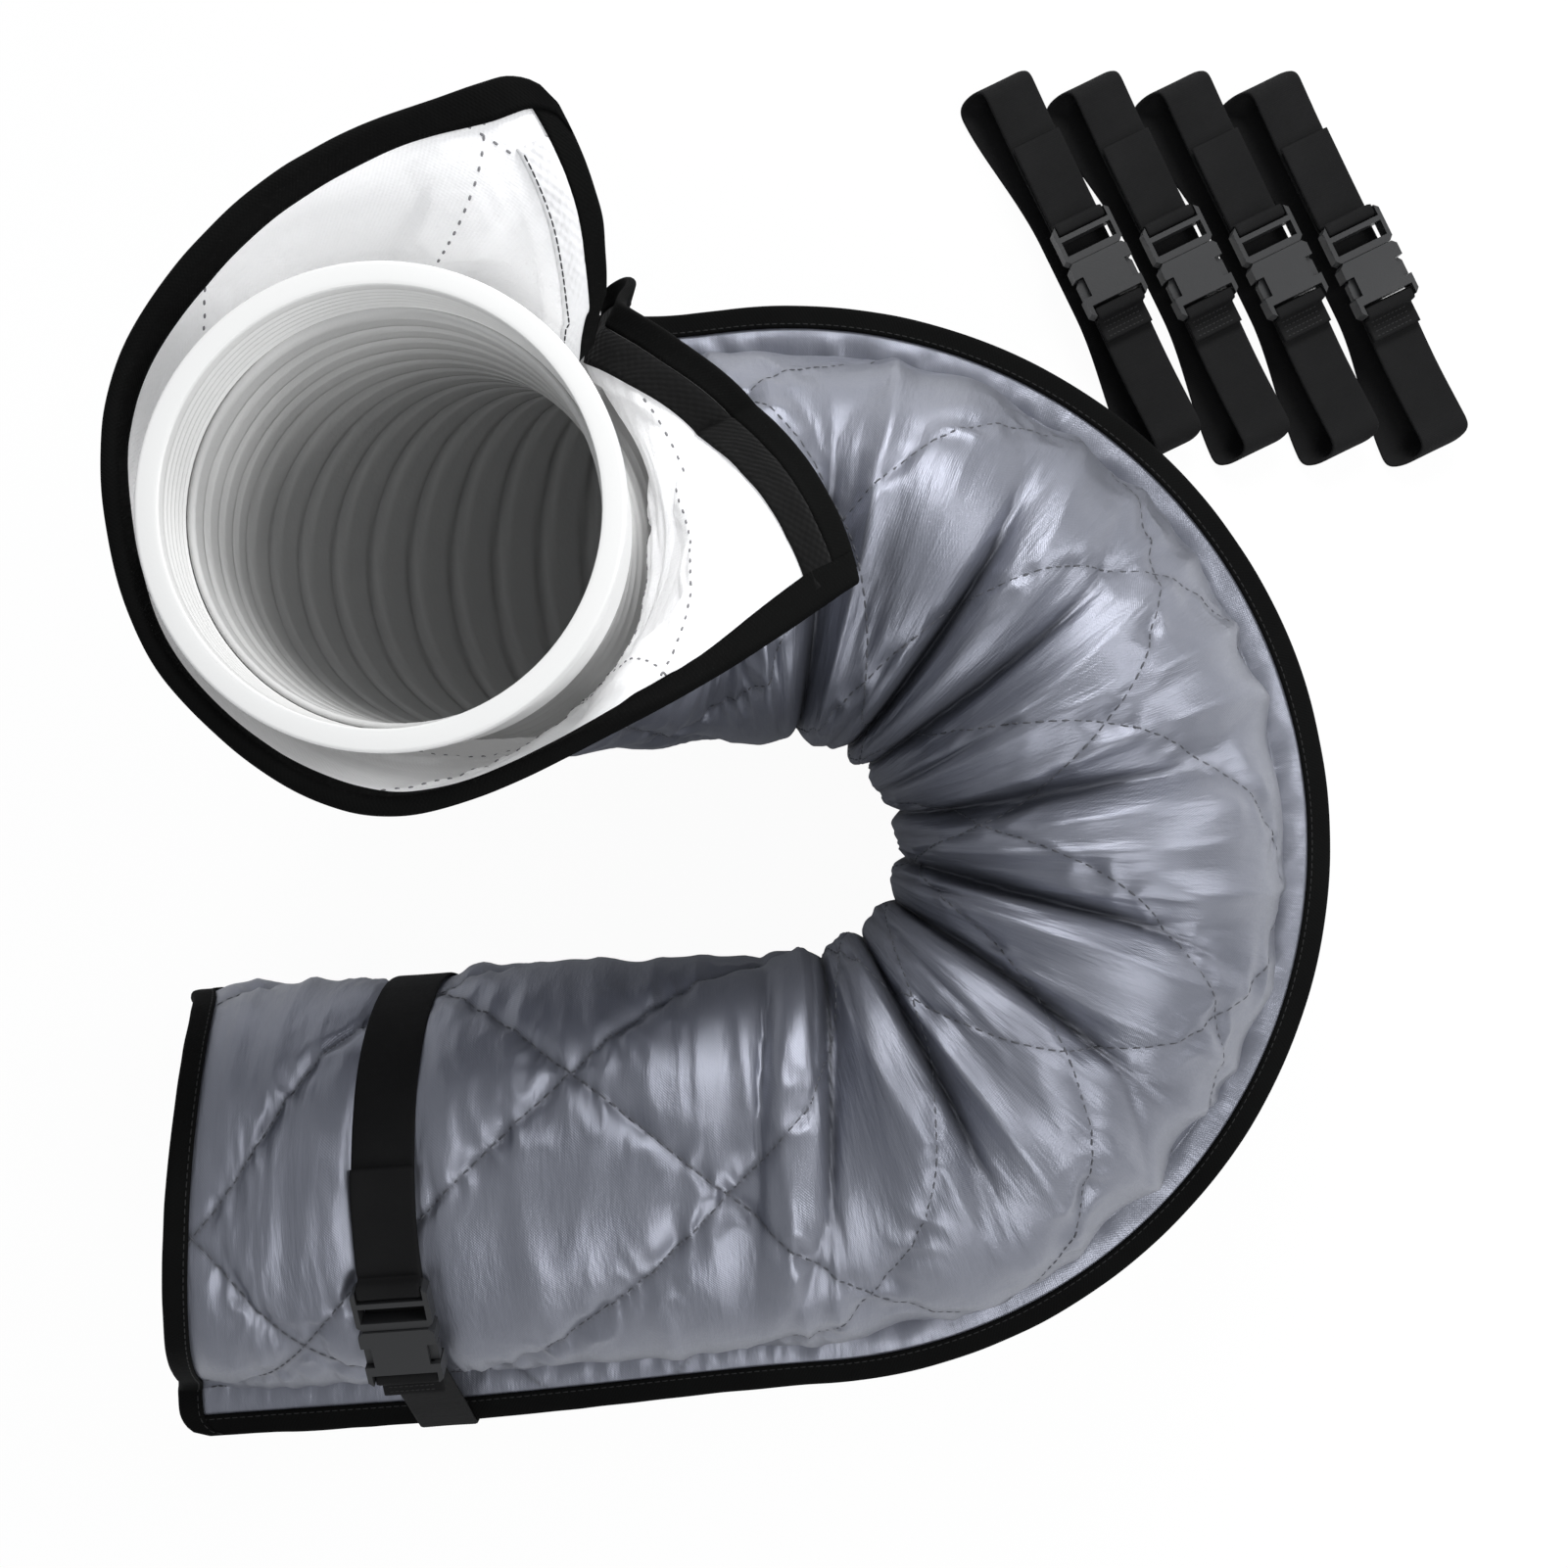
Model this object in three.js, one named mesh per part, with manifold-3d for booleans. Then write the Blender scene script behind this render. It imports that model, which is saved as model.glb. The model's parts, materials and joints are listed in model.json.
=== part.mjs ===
// Insulated flexible air duct: a ribbed hose with a screw-on coupling at each end, inside a quilted
// wrap-round sleeve whose long edges close on hook-and-loop tape. One elastic strap with a
// side-release buckle is fitted round the duct, and four more lie beside it.
// Millimetres, +Z up, lying on z = 0, with the origin under the middle of the whole set.

import * as THREE from 'three';
import { mergeVertices } from 'three/addons/utils/BufferGeometryUtils.js';
import Module from 'manifold-3d';

const wasm = await Module();
wasm.setup();

// ---- driving dimensions -------------------------------------------------------------------

const FIT = 0.3; // gap between pieces that touch
const DEGREE = Math.PI / 180;

// Route of the hose axis, from the tail end to the mouth.
const LEG_LENGTH = 240; // straight lower leg
const LEG_HEADING = 4 * DEGREE; // the leg's direction, from +X
const BEND_RADIUS = 132.5; // the big flat bend, centred on x = y = 0
const BEND_SWEEP = 183 * DEGREE;
const TOP_LEG_LENGTH = 8.8; // between the bend and the elbow
const ELBOW_RADIUS = 110; // the elbow turns straight up
const RISER_LENGTH = 76; // straight, up to the mouth's face

// Hose: nominal 150 mm.
const HOSE_CREST_RADIUS = 73.5;
const HOSE_VALLEY_RADIUS = 71.7;
const HOSE_BORE_RADIUS = 69.5;
const RIB_PITCH = 11;
const RIB_SIDES = 8;
const RIBS_PER_BORE_RING = 3;

// Coupling, the same at both ends.
const COUPLING_RIM_RADIUS = 80;
const COUPLING_RIM_HEIGHT = 8;
const COUPLING_RIM_CHAMFER = 1.2;
const COUPLING_MOUTH_RADIUS = 72;
const COUPLING_LENGTH = 50;
const COUPLING_SHOULDER_DEPTH = 24; // the hose is screwed in up to this shoulder
const COUPLING_WALL = 3;
const COUPLING_THREAD_FIT = 0.5; // between the hose's ribs and the thread
const COUPLING_SIDES = 32;
const COUPLING_THREAD_RADIUS = HOSE_CREST_RADIUS + COUPLING_THREAD_FIT;
const COUPLING_BODY_RADIUS = COUPLING_THREAD_RADIUS + COUPLING_WALL;
const COUPLING_REACH = Math.max(COUPLING_RIM_RADIUS, COUPLING_BODY_RADIUS); // its widest part

// Sleeve: shell, batting and lining, laid on one middle surface.
const SHELL_THICKNESS = 0.6;
const BATTING_THICKNESS = 1.8;
const LINING_THICKNESS = 0.6;
const SLEEVE_OVER_COUPLING = 4.5; // from a coupling to the sleeve's middle surface
const SLEEVE_UNDER_COUPLING = 4; // and down to its flat underside
const SLEEVE_OVER_HOSE = 6; // from the hose to the middle surface, pulled tight in the bend
const SLEEVE_END_RADIUS = COUPLING_REACH + SLEEVE_OVER_COUPLING;
const SLEEVE_BEND_RADIUS = HOSE_CREST_RADIUS + SLEEVE_OVER_HOSE;
const SLEEVE_UNDERSIDE = COUPLING_REACH + SLEEVE_UNDER_COUPLING; // below the hose axis
const SLEEVE_FLAT_ANGLE = 12 * DEGREE; // half angle of the flat underside
const SLEEVE_FACET_ANGLE = 26 * DEGREE;
const SLEEVE_TAIL_OVERHANG = 47; // the fin's end, beyond the tail coupling
const TAIL_DROOP_TOP = 25; // the end of the sleeve sags back from the fin's end, on top
const TAIL_DROOP_INSIDE = 18; // and on the side away from the fin
const TAIL_DROOP_REACH = 110;
const SLEEVE_MOUTH_SETBACK = 10; // the sleeve's mouth edge, below the mouth's face
const FLARE_LENGTH = 200; // here the sleeve's fin turns round the duct, and comes open
const FLARE_LEAD = 0.35; // share of the flare before its end begins to open out
const FLARE_TURN = 45 * DEGREE; // of the whole sleeve round the duct
const FLARE_TURN_LEAD = 20; // the turn starts this far before the flare
const FLARE_TURN_LENGTH = 165;
const FLARE_EDGE_REACH = 120; // how far round an edge's turn is felt
const FLARE_FIN_REACH = 55; // how far round its lift is felt
const FOLD_COUNT = 9; // gathered folds round the bend
const FOLD_INWARD = 2.5;
const FOLD_OUTWARD = 5;
const LEG_STEPS = 2;
const ELBOW_STEPS = 2;

// Fin: the two long edges of the sleeve, face to face.
const FIN_WIDTH = 25;
const TAPE_THICKNESS = 1.2;
const TAPE_WIDTH = 13;
const TAPE_MARGIN = 1; // from the tape to the binding's strip
const TAPE_FIT = 0.5; // between a tape and its panel
const BINDING_THICKNESS = 0.8;
const BINDING_WIDTH = 9;
const BINDING_FIT = 0.5;
const EDGE_STRIP = BINDING_WIDTH + 0.6; // the sheet's outermost strip, which the binding covers
const MOUTH_STRIP = 5.5; // the same strip at the mouth, measured along the duct

// Straps.
const WEBBING_WIDTH = 25;
const WEBBING_THICKNESS = 1.6;
const STRAP_FROM_TAIL = 72;
const STRAP_BUCKLE_SHIFT = 24; // buckle junction, from the top edge of its facet
const STRAP_TAIL_LENGTH = 45;
const LOOP_LENGTH = 200; // a loose strap, lying flat
const LOOP_HEIGHT = 16;
const LOOP_ARC_STEPS = 6;
const LOOSE_STRAP_COUNT = 4;
const LOOSE_STRAP_PITCH = 43.6;
const LOOSE_STRAP_FIRST = new THREE.Vector2(148, 284); // middle of the first, from the bend's centre
const LOOSE_STRAP_ANGLE = -64 * DEGREE;

// Side-release buckle; x = 0 is where the plug meets the housing.
const BUCKLE_WIDTH = 30;
const BUCKLE_THICKNESS = 8.5;
const BUCKLE_CORNER = 2;
const HOUSING_LENGTH = 28;
const HOUSING_CAVITY_LENGTH = 20.5;
const HOUSING_CAVITY_WIDTH = 24.4;
const HOUSING_SKIN = 1.6; // above and below the cavity
const WINDOW_START = 8; // the latch windows in both sides
const WINDOW_LENGTH = 10;
const WINDOW_DEPTH = 4;
const BAR_WIDTH = 2.5; // every bar that webbing passes round
const BAR_BOTTOM = 1.5;
const BAR_TOP = 5.6;
const SLOT_WIDTH = 3; // room for one layer of webbing
const PLUG_WINDOW_LENGTH = 7.5;
const PLUG_FRONT_LENGTH = 3.6;
const PLUG_GAP = 0.4; // between plug and housing
const PLUG_INSET = 0.8; // the plug is thinner than the housing by this on each face
const GUIDE_LENGTH = 16;
const GUIDE_WIDTH = 4;
const LATCH_CLEARANCE = 0.6; // above and below the latch arms
const LATCH_PIVOT_Y = 8.9;
const LATCH_ROOT_WIDTH = 3;
const LATCH_PLAY = 0.4; // of the latch pad in its window

// ---- finishes -----------------------------------------------------------------------------

function finish(color, roughness, metalness = 0) {
  return () => new THREE.MeshStandardMaterial({ color, roughness, metalness, flatShading: true });
}

const whitePlastic = finish(0xf2f2f2, 0.45);
const silverNylon = finish(0x878b96, 0.38, 0.35);
const whiteWadding = finish(0xe9e9e6, 0.95);
const whiteLining = finish(0xf4f4f6, 0.7);
const blackTape = finish(0x141514, 0.85);
const whiteTape = finish(0xe6e6e8, 0.9);
const blackWebbing = finish(0x101011, 0.9);
const blackPlastic = finish(0x2d2e30, 0.5);

// ---- helpers ------------------------------------------------------------------------------

const { clamp, smoothstep, lerp } = THREE.MathUtils;

function named(name, geometry, material) {
  const mesh = new THREE.Mesh(geometry, material());
  mesh.name = name;
  return mesh;
}

function solidFrom(geometry) {
  const bare = geometry.clone();
  bare.deleteAttribute('normal');
  bare.deleteAttribute('uv');
  const merged = mergeVertices(bare, 1e-4);
  const vertProperties = new Float32Array(merged.attributes.position.array);
  const triVerts = new Uint32Array(merged.index.array);
  return new wasm.Manifold(new wasm.Mesh({ numProp: 3, vertProperties, triVerts }));
}

function geometryFrom(solid) {
  const mesh = solid.getMesh();
  const geometry = new THREE.BufferGeometry();
  geometry.setAttribute('position', new THREE.BufferAttribute(mesh.vertProperties, 3));
  geometry.setIndex(new THREE.BufferAttribute(mesh.triVerts, 1));
  geometry.computeVertexNormals();
  return geometry;
}

function cut(geometry, ...tools) {
  return geometryFrom(tools.reduce((body, tool) => body.subtract(solidFrom(tool)), solidFrom(geometry)));
}

function join(...geometries) {
  return geometryFrom(geometries.map(solidFrom).reduce((whole, next) => whole.add(next)));
}

// A box given by its lowest and highest corners.
function boxBetween(low, high) {
  const size = high.map((value, axis) => value - low[axis]);
  const geometry = new THREE.BoxGeometry(...size);
  return geometry.translate(...low.map((value, axis) => value + size[axis] / 2));
}

function signedVolume(points, faces) {
  const total = faces.reduce((sum, [a, b, c]) => {
    const across = new THREE.Vector3().crossVectors(points[b], points[c]);
    return sum + points[a].dot(across);
  }, 0);
  return total / 6;
}

// A closed mesh from points and triangles, turned to face outwards.
function closedMesh(points, faces) {
  const outward = signedVolume(points, faces) > 0;
  const index = faces.flatMap(([a, b, c]) => (outward ? [a, b, c] : [a, c, b]));
  const geometry = new THREE.BufferGeometry().setFromPoints(points);
  geometry.setIndex(index);
  geometry.computeVertexNormals();
  return geometry;
}

// Two triangles for the quad a, b, c, d.
function quad(a, b, c, d) {
  return [[a, b, c], [a, c, d]];
}

// Faces of the strip between a ring and the next one, in rings of equal size.
function ringStrip(start, sides, reversed) {
  const faces = [];
  for (let j = 0; j < sides; j += 1) {
    const k = (j + 1) % sides;
    const corners = [start + j, start + k, start + sides + k, start + sides + j];
    faces.push(...quad(...(reversed ? corners.reverse() : corners)));
  }
  return faces;
}

// A solid swept through rings of points, closed at both ends by its flat section. Each quad is
// split from low x to high x along the sweep where rising is true, and the other way otherwise,
// so that it can be split as the sheet beneath it is.
function sweep(rings, section, rising) {
  const sides = section.length;
  const faces = [];
  for (let i = 0; i < rings.length - 1; i += 1) {
    const start = i * sides;
    for (let j = 0; j < sides; j += 1) {
      const k = (j + 1) % sides;
      const [a, b, c, d] = [start + j, start + k, start + sides + k, start + sides + j];
      const asIs = (section[j].x < section[k].x) === rising;
      faces.push(...(asIs ? quad(a, b, c, d) : quad(b, c, d, a)));
    }
  }
  const turn = Math.sign(THREE.ShapeUtils.area(section));
  const last = (rings.length - 1) * sides;
  for (const [a, b, c] of THREE.ShapeUtils.triangulateShape(section, [])) {
    const area = THREE.ShapeUtils.area([section[a], section[b], section[c]]);
    const [p, q] = Math.sign(area) === turn ? [b, c] : [c, b];
    faces.push([a, q, p], [last + a, last + p, last + q]);
  }
  return closedMesh(rings.flat(), faces);
}

// A tube wall between outer and inner rings that have the same number of sides.
function tubeWall(outerRings, innerRings, sides) {
  const faces = [];
  const inner = outerRings.length * sides;
  for (let i = 0; i < outerRings.length - 1; i += 1) {
    faces.push(...ringStrip(i * sides, sides, false));
  }
  for (let i = 0; i < innerRings.length - 1; i += 1) {
    faces.push(...ringStrip(inner + i * sides, sides, true));
  }
  const outerLast = (outerRings.length - 1) * sides;
  const innerLast = inner + (innerRings.length - 1) * sides;
  for (let j = 0; j < sides; j += 1) {
    const k = (j + 1) % sides;
    faces.push(...quad(k, j, inner + j, inner + k));
    faces.push(...quad(outerLast + j, outerLast + k, innerLast + k, innerLast + j));
  }
  return closedMesh([...outerRings.flat(), ...innerRings.flat()], faces);
}

// The points of a flat line, moved to its left by a distance, with mitred corners.
function offsetLine(points, distance) {
  return points.map((point, i) => {
    const before = points[Math.max(i - 1, 0)];
    const after = points[Math.min(i + 1, points.length - 1)];
    const first = i > 0 ? point.clone().sub(before).normalize() : null;
    const second = i < points.length - 1 ? after.clone().sub(point).normalize() : null;
    const a = first ?? second;
    const b = second ?? first;
    const left = new THREE.Vector2(-a.y - b.y, a.x + b.x).normalize();
    const stretch = left.dot(new THREE.Vector2(-a.y, a.x));
    return point.clone().addScaledVector(left, distance / stretch);
  });
}

// A band of webbing whose middle follows a line in its own x-z plane; its width lies along y.
function webbing(line) {
  const outer = offsetLine(line, WEBBING_THICKNESS / 2);
  const inner = offsetLine(line, -WEBBING_THICKNESS / 2);
  const outline = new THREE.Shape([...outer, ...inner.reverse()]);
  const geometry = new THREE.ExtrudeGeometry(outline, { depth: WEBBING_WIDTH, bevelEnabled: false });
  geometry.rotateX(Math.PI / 2);
  return geometry.translate(0, WEBBING_WIDTH / 2, 0);
}

// ---- route --------------------------------------------------------------------------------

const BEND_END = LEG_LENGTH + BEND_SWEEP * BEND_RADIUS;
const ELBOW_START = BEND_END + TOP_LEG_LENGTH;
const ELBOW_END = ELBOW_START + (ELBOW_RADIUS * Math.PI) / 2;
const ROUTE_LENGTH = ELBOW_END + RISER_LENGTH;
const UP = new THREE.Vector3(0, 0, 1);

// The hose axis at a distance from its tail end: a point, the way ahead, the side that faces
// out of the bend, and the side that is on top while the duct lies flat.
function station(distance) {
  const heading = LEG_HEADING + clamp((distance - LEG_LENGTH) / BEND_RADIUS, 0, BEND_SWEEP);
  const rise = clamp((distance - ELBOW_START) / ELBOW_RADIUS, 0, Math.PI / 2);
  const forward = new THREE.Vector3(Math.cos(heading), Math.sin(heading), 0);
  const outward = new THREE.Vector3(Math.sin(heading), -Math.cos(heading), 0);
  const straight = Math.min(distance - LEG_LENGTH, 0) + clamp(distance - BEND_END, 0, TOP_LEG_LENGTH);
  const point = outward.clone().multiplyScalar(BEND_RADIUS);
  point.addScaledVector(forward, straight + ELBOW_RADIUS * Math.sin(rise));
  point.z = SLEEVE_UNDERSIDE + ELBOW_RADIUS * (1 - Math.cos(rise)) + Math.max(distance - ELBOW_END, 0);
  const tangent = forward.multiplyScalar(Math.cos(rise)).addScaledVector(UP, Math.sin(rise));
  const upward = new THREE.Vector3().crossVectors(outward, tangent);
  return { point, tangent, outward, upward };
}

function inSection(place, outward, upward) {
  return place.point.clone()
    .addScaledVector(place.outward, outward)
    .addScaledVector(place.upward, upward);
}

// ---- hose and couplings -------------------------------------------------------------------

function hoseRing(distance, radius) {
  const place = station(distance);
  return Array.from({ length: RIB_SIDES }, (_, k) => {
    const angle = (k / RIB_SIDES) * 2 * Math.PI;
    return inSection(place, radius * Math.cos(angle), radius * Math.sin(angle));
  });
}

function hose() {
  const start = COUPLING_SHOULDER_DEPTH + FIT;
  const length = ROUTE_LENGTH - 2 * start;
  const ribs = Math.round(length / RIB_PITCH);
  const pitch = length / ribs;
  const outer = [hoseRing(start, HOSE_VALLEY_RADIUS)];
  for (let rib = 0; rib < ribs; rib += 1) {
    outer.push(hoseRing(start + (rib + 0.5) * pitch, HOSE_CREST_RADIUS));
    outer.push(hoseRing(start + (rib + 1) * pitch, HOSE_VALLEY_RADIUS));
  }
  const boreSteps = Math.ceil(ribs / RIBS_PER_BORE_RING);
  const bore = Array.from({ length: boreSteps + 1 }, (_, k) =>
    hoseRing(start + (k / boreSteps) * length, HOSE_BORE_RADIUS));
  return named('duct_hose', tubeWall(outer, bore, RIB_SIDES), whitePlastic);
}

// Revolved about z, with its rim's face at z = 0 and the hose entering from below.
function couplingGeometry() {
  const profile = [
    [COUPLING_MOUTH_RADIUS, -COUPLING_RIM_CHAMFER],
    [COUPLING_MOUTH_RADIUS + COUPLING_RIM_CHAMFER, 0],
    [COUPLING_RIM_RADIUS - COUPLING_RIM_CHAMFER, 0],
    [COUPLING_RIM_RADIUS, -COUPLING_RIM_CHAMFER],
    [COUPLING_RIM_RADIUS, -COUPLING_RIM_HEIGHT],
    [COUPLING_BODY_RADIUS, -COUPLING_RIM_HEIGHT],
    [COUPLING_BODY_RADIUS, -COUPLING_LENGTH],
    [COUPLING_THREAD_RADIUS, -COUPLING_LENGTH],
    [COUPLING_THREAD_RADIUS, -COUPLING_SHOULDER_DEPTH],
    [COUPLING_MOUTH_RADIUS, -COUPLING_SHOULDER_DEPTH],
    [COUPLING_MOUTH_RADIUS, -COUPLING_RIM_CHAMFER],
  ].map(([radius, height]) => new THREE.Vector2(radius, height)).reverse();
  const geometry = new THREE.LatheGeometry(profile, COUPLING_SIDES);
  return geometry.rotateX(Math.PI / 2);
}

function coupling(name, distance, facing) {
  const place = station(distance);
  const axis = place.tangent.clone().multiplyScalar(facing);
  const side = new THREE.Vector3().crossVectors(axis, place.outward);
  const mesh = named(name, couplingGeometry(), whitePlastic);
  mesh.quaternion.setFromRotationMatrix(new THREE.Matrix4().makeBasis(place.outward, side, axis));
  mesh.position.copy(place.point);
  return mesh;
}

// ---- sleeve -------------------------------------------------------------------------------

const SLEEVE_THICKNESS = SHELL_THICKNESS + BATTING_THICKNESS + LINING_THICKNESS + 2 * FIT;
const SLEEVE_HALF = SLEEVE_THICKNESS / 2;
const SLEEVE_START = -SLEEVE_TAIL_OVERHANG;
const SLEEVE_END = ROUTE_LENGTH - SLEEVE_MOUTH_SETBACK;
const FLARE_START = SLEEVE_END - FLARE_LENGTH;
const STRAP_HALF_ZONE = WEBBING_WIDTH / 2 + 0.5;
const CINCH = WEBBING_THICKNESS + 2 * FIT; // the fitted strap lies in a shallow waist
const HEM = BINDING_FIT + BINDING_THICKNESS; // and so does the tail's binding
const FIN_MIDDLE = TAPE_THICKNESS + TAPE_FIT + FIT / 2 + SLEEVE_HALF;

function sleeveRadius(distance) {
  const fromTail = smoothstep(distance, STRAP_FROM_TAIL, LEG_LENGTH);
  const toMouth = smoothstep(distance, ELBOW_START, SLEEVE_END);
  return lerp(SLEEVE_END_RADIUS, SLEEVE_BEND_RADIUS, fromTail - toMouth);
}

function waist(distance) {
  const fromStrap = Math.abs(distance - STRAP_FROM_TAIL);
  const fromHem = distance - SLEEVE_START;
  return CINCH * clamp(2 - fromStrap / STRAP_HALF_ZONE, 0, 1) + HEM * clamp(2 - fromHem / EDGE_STRIP, 0, 1);
}

// How strongly the gathered folds show at an angle round the tube: most inside the bend, fading
// over the top, and not at all on the flat underside.
function foldShare(angle) {
  if (Math.sin(angle) >= 0) {
    return ((1 - Math.cos(angle)) / 2) ** 1.2;
  }
  const edge = Math.sin(SLEEVE_FLAT_ANGLE);
  return Math.max(0, (-Math.cos(angle) - edge) / (1 - edge));
}

// Angles of the facets round the tube, from just below the fin round to just above it.
function facetAngles() {
  const quarter = [2, 1, 0].map((k) => Math.PI / 2 - SLEEVE_FLAT_ANGLE - k * SLEEVE_FACET_ANGLE);
  const half = [...quarter, ...quarter.map((angle) => Math.PI - angle).reverse()];
  return [...half.map((angle) => -angle), -Math.PI, ...half.reverse()];
}

// The middle surface's section at a distance: pairs of outward and upward places, from the
// lower panel's free edge round the tube to the upper panel's.
function sleeveSection(distance, fold) {
  const radius = sleeveRadius(distance) - waist(distance);
  const flat = SLEEVE_UNDERSIDE - SLEEVE_HALF - waist(distance);
  const lower = flat / Math.cos(SLEEVE_FLAT_ANGLE);
  const round = facetAngles().map((angle) => {
    const reach = foldShare(angle) * fold;
    const height = Math.sin(angle) < -1e-9 ? lower : radius;
    return [(radius + reach) * Math.cos(angle), (height + reach) * Math.sin(angle)];
  });
  const root = sleeveRadius(distance);
  const fin = [root, root + FIN_WIDTH - EDGE_STRIP, root + FIN_WIDTH];
  return [
    ...fin.map((outward) => [outward, -FIN_MIDDLE]).reverse(),
    ...round,
    ...fin.map((outward) => [outward, FIN_MIDDLE]),
  ];
}

// Free edge of the opened sleeve, from the standing corner round the back of the mouth to the
// lying corner: places from the mouth's centre, and heights from its face, in rim radii.
const MOUTH_EDGE = new THREE.CatmullRomCurve3([
  [0.6, 1.875, -0.25],
  [-0.1, 1.57, -0.125],
  [-0.62, 1.22, -0.1],
  [-1.07, 0.61, -0.1],
  [-1.12, 0, -0.0875],
  [-0.88, -0.68, -0.1],
  [-0.0875, -1.22, -0.15],
  [1, -0.825, -0.425],
  [1.975, -0.175, -0.9],
].map((place) => new THREE.Vector3(...place).multiplyScalar(COUPLING_RIM_RADIUS)), false, 'centripetal');

// Paths of the two long edges through the flare, from the closed fin on: share of its length,
// turn in degrees, then places out and along in rim radii. The mouth's edge ends both.
const LOWER_PATH = [
  [0, 0, 0, 0],
  [0.065, -1, 0.015, -0.015],
  [0.13, 0, 0.05, -0.05],
  [0.26, 4.5, 0.165, -0.13],
  [0.41, 6, 0.04, 0.02],
  [0.53, 9.5, -0.15, 0.175],
  [0.665, 3, -0.02, 0.35],
  [0.825, -5.5, 0.256, 0.19],
];
const UPPER_PATH = [
  [0, 0, 0, 0],
  [0.065, 3.5, 0.015, -0.015],
  [0.13, 6.5, 0.05, -0.05],
  [0.26, 12, 0.165, -0.13],
  [0.41, 10.5, 0.075, 0],
  [0.53, 15.5, 0.12, -0.03],
  [0.665, 26, 0.275, -0.17],
  [0.825, 39.5, 0.43, -0.39],
];

// Distances of the sleeve's rings, and how far each is folded in or out.
function sleeveRings() {
  const hem = [0, 1, 2].map((k) => SLEEVE_START + k * EDGE_STRIP);
  const strap = [-2, -1, 1, 2].map((k) => STRAP_FROM_TAIL + k * STRAP_HALF_ZONE);
  const rings = [...hem, ...strap];
  for (let k = 1; k <= LEG_STEPS; k += 1) {
    rings.push(lerp(strap[3], LEG_LENGTH, k / LEG_STEPS));
  }
  const plain = rings.map((distance) => ({ distance, fold: 0 }));
  const steps = 2 * FOLD_COUNT;
  for (let k = 1; k <= steps; k += 1) {
    const distance = lerp(LEG_LENGTH, BEND_END, k / steps);
    plain.push({ distance, fold: k % 2 === 1 ? -FOLD_INWARD : FOLD_OUTWARD });
  }
  for (let k = 1; k <= ELBOW_STEPS; k += 1) {
    plain.push({ distance: lerp(BEND_END, FLARE_START, k / ELBOW_STEPS), fold: 0 });
  }
  for (const [share] of LOWER_PATH.slice(1)) {
    plain.push({ distance: FLARE_START + share * FLARE_LENGTH, fold: 0 });
  }
  plain.push({ distance: SLEEVE_END - MOUTH_STRIP, fold: 0 });
  plain.push({ distance: SLEEVE_END, fold: 0 });
  return plain;
}

// Each point's way round its ring, from the first.
function girthPassed(section) {
  let passed = 0;
  return section.map(([n, b], k) => {
    passed += k ? Math.hypot(n - section[k - 1][0], b - section[k - 1][1]) : 0;
    return passed;
  });
}

// Angle and radius round the hose axis; the angle falls steadily from the first column to the last.
function polar(outward, upward, pastMiddle) {
  const angle = Math.atan2(upward, outward);
  return {
    angle: pastMiddle && angle > 0 ? angle - 2 * Math.PI : angle,
    radius: Math.hypot(outward, upward),
  };
}

// How far the whole sleeve is turned round the duct at a distance.
function sleeveTurn(distance) {
  const start = FLARE_START - FLARE_TURN_LEAD;
  return FLARE_TURN * smoothstep(distance, start, start + FLARE_TURN_LENGTH);
}

// How far each column turns, moves out and moves along between the closed tube and the free edge.
function flarePulls() {
  const place = station(SLEEVE_END);
  const centre = station(ROUTE_LENGTH).point.sub(place.point);
  const closed = sleeveSection(SLEEVE_END, 0);
  const passed = girthPassed(closed);
  const girth = passed[passed.length - 1];
  return passed.map((way, k) => {
    const pastMiddle = k >= (closed.length - 1) / 2;
    const edge = MOUTH_EDGE.getPointAt(Math.min(way / girth, 1)).add(centre);
    const to = polar(edge.dot(place.outward), edge.dot(place.upward), pastMiddle);
    const from = polar(...closed[k], pastMiddle);
    const fromLower = way;
    const fromUpper = girth - way;
    return {
      pull: [to.angle - from.angle - FLARE_TURN, to.radius - from.radius, edge.dot(place.tangent)],
      fromLower,
      fromUpper,
    };
  });
}

// A long edge's turn, reach and place along at a share of the flare, ending at its corner's pull.
function edgePull(path, corner, share) {
  const rim = COUPLING_RIM_RADIUS;
  const rows = path.map(([at, turn, out, along]) => [at, turn * DEGREE, out * rim, along * rim]);
  rows.push([1, ...corner]);
  const next = Math.max(rows.findIndex(([at]) => at >= share), 1);
  const step = (share - rows[next - 1][0]) / (rows[next][0] - rows[next - 1][0]);
  return rows[next].map((value, k) => lerp(rows[next - 1][k], value, step)).slice(1);
}

// How far the sleeve's open tail end sags back along the duct, at an angle round it.
function tailDroop(distance, angle) {
  const fade = 1 - smoothstep(distance, SLEEVE_START, SLEEVE_START + TAIL_DROOP_REACH);
  const onTop = TAIL_DROOP_TOP * Math.max(Math.sin(angle), 0) ** 1.5;
  return fade * (onTop + (TAIL_DROOP_INSIDE * (1 - Math.cos(angle))) / 2);
}

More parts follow.
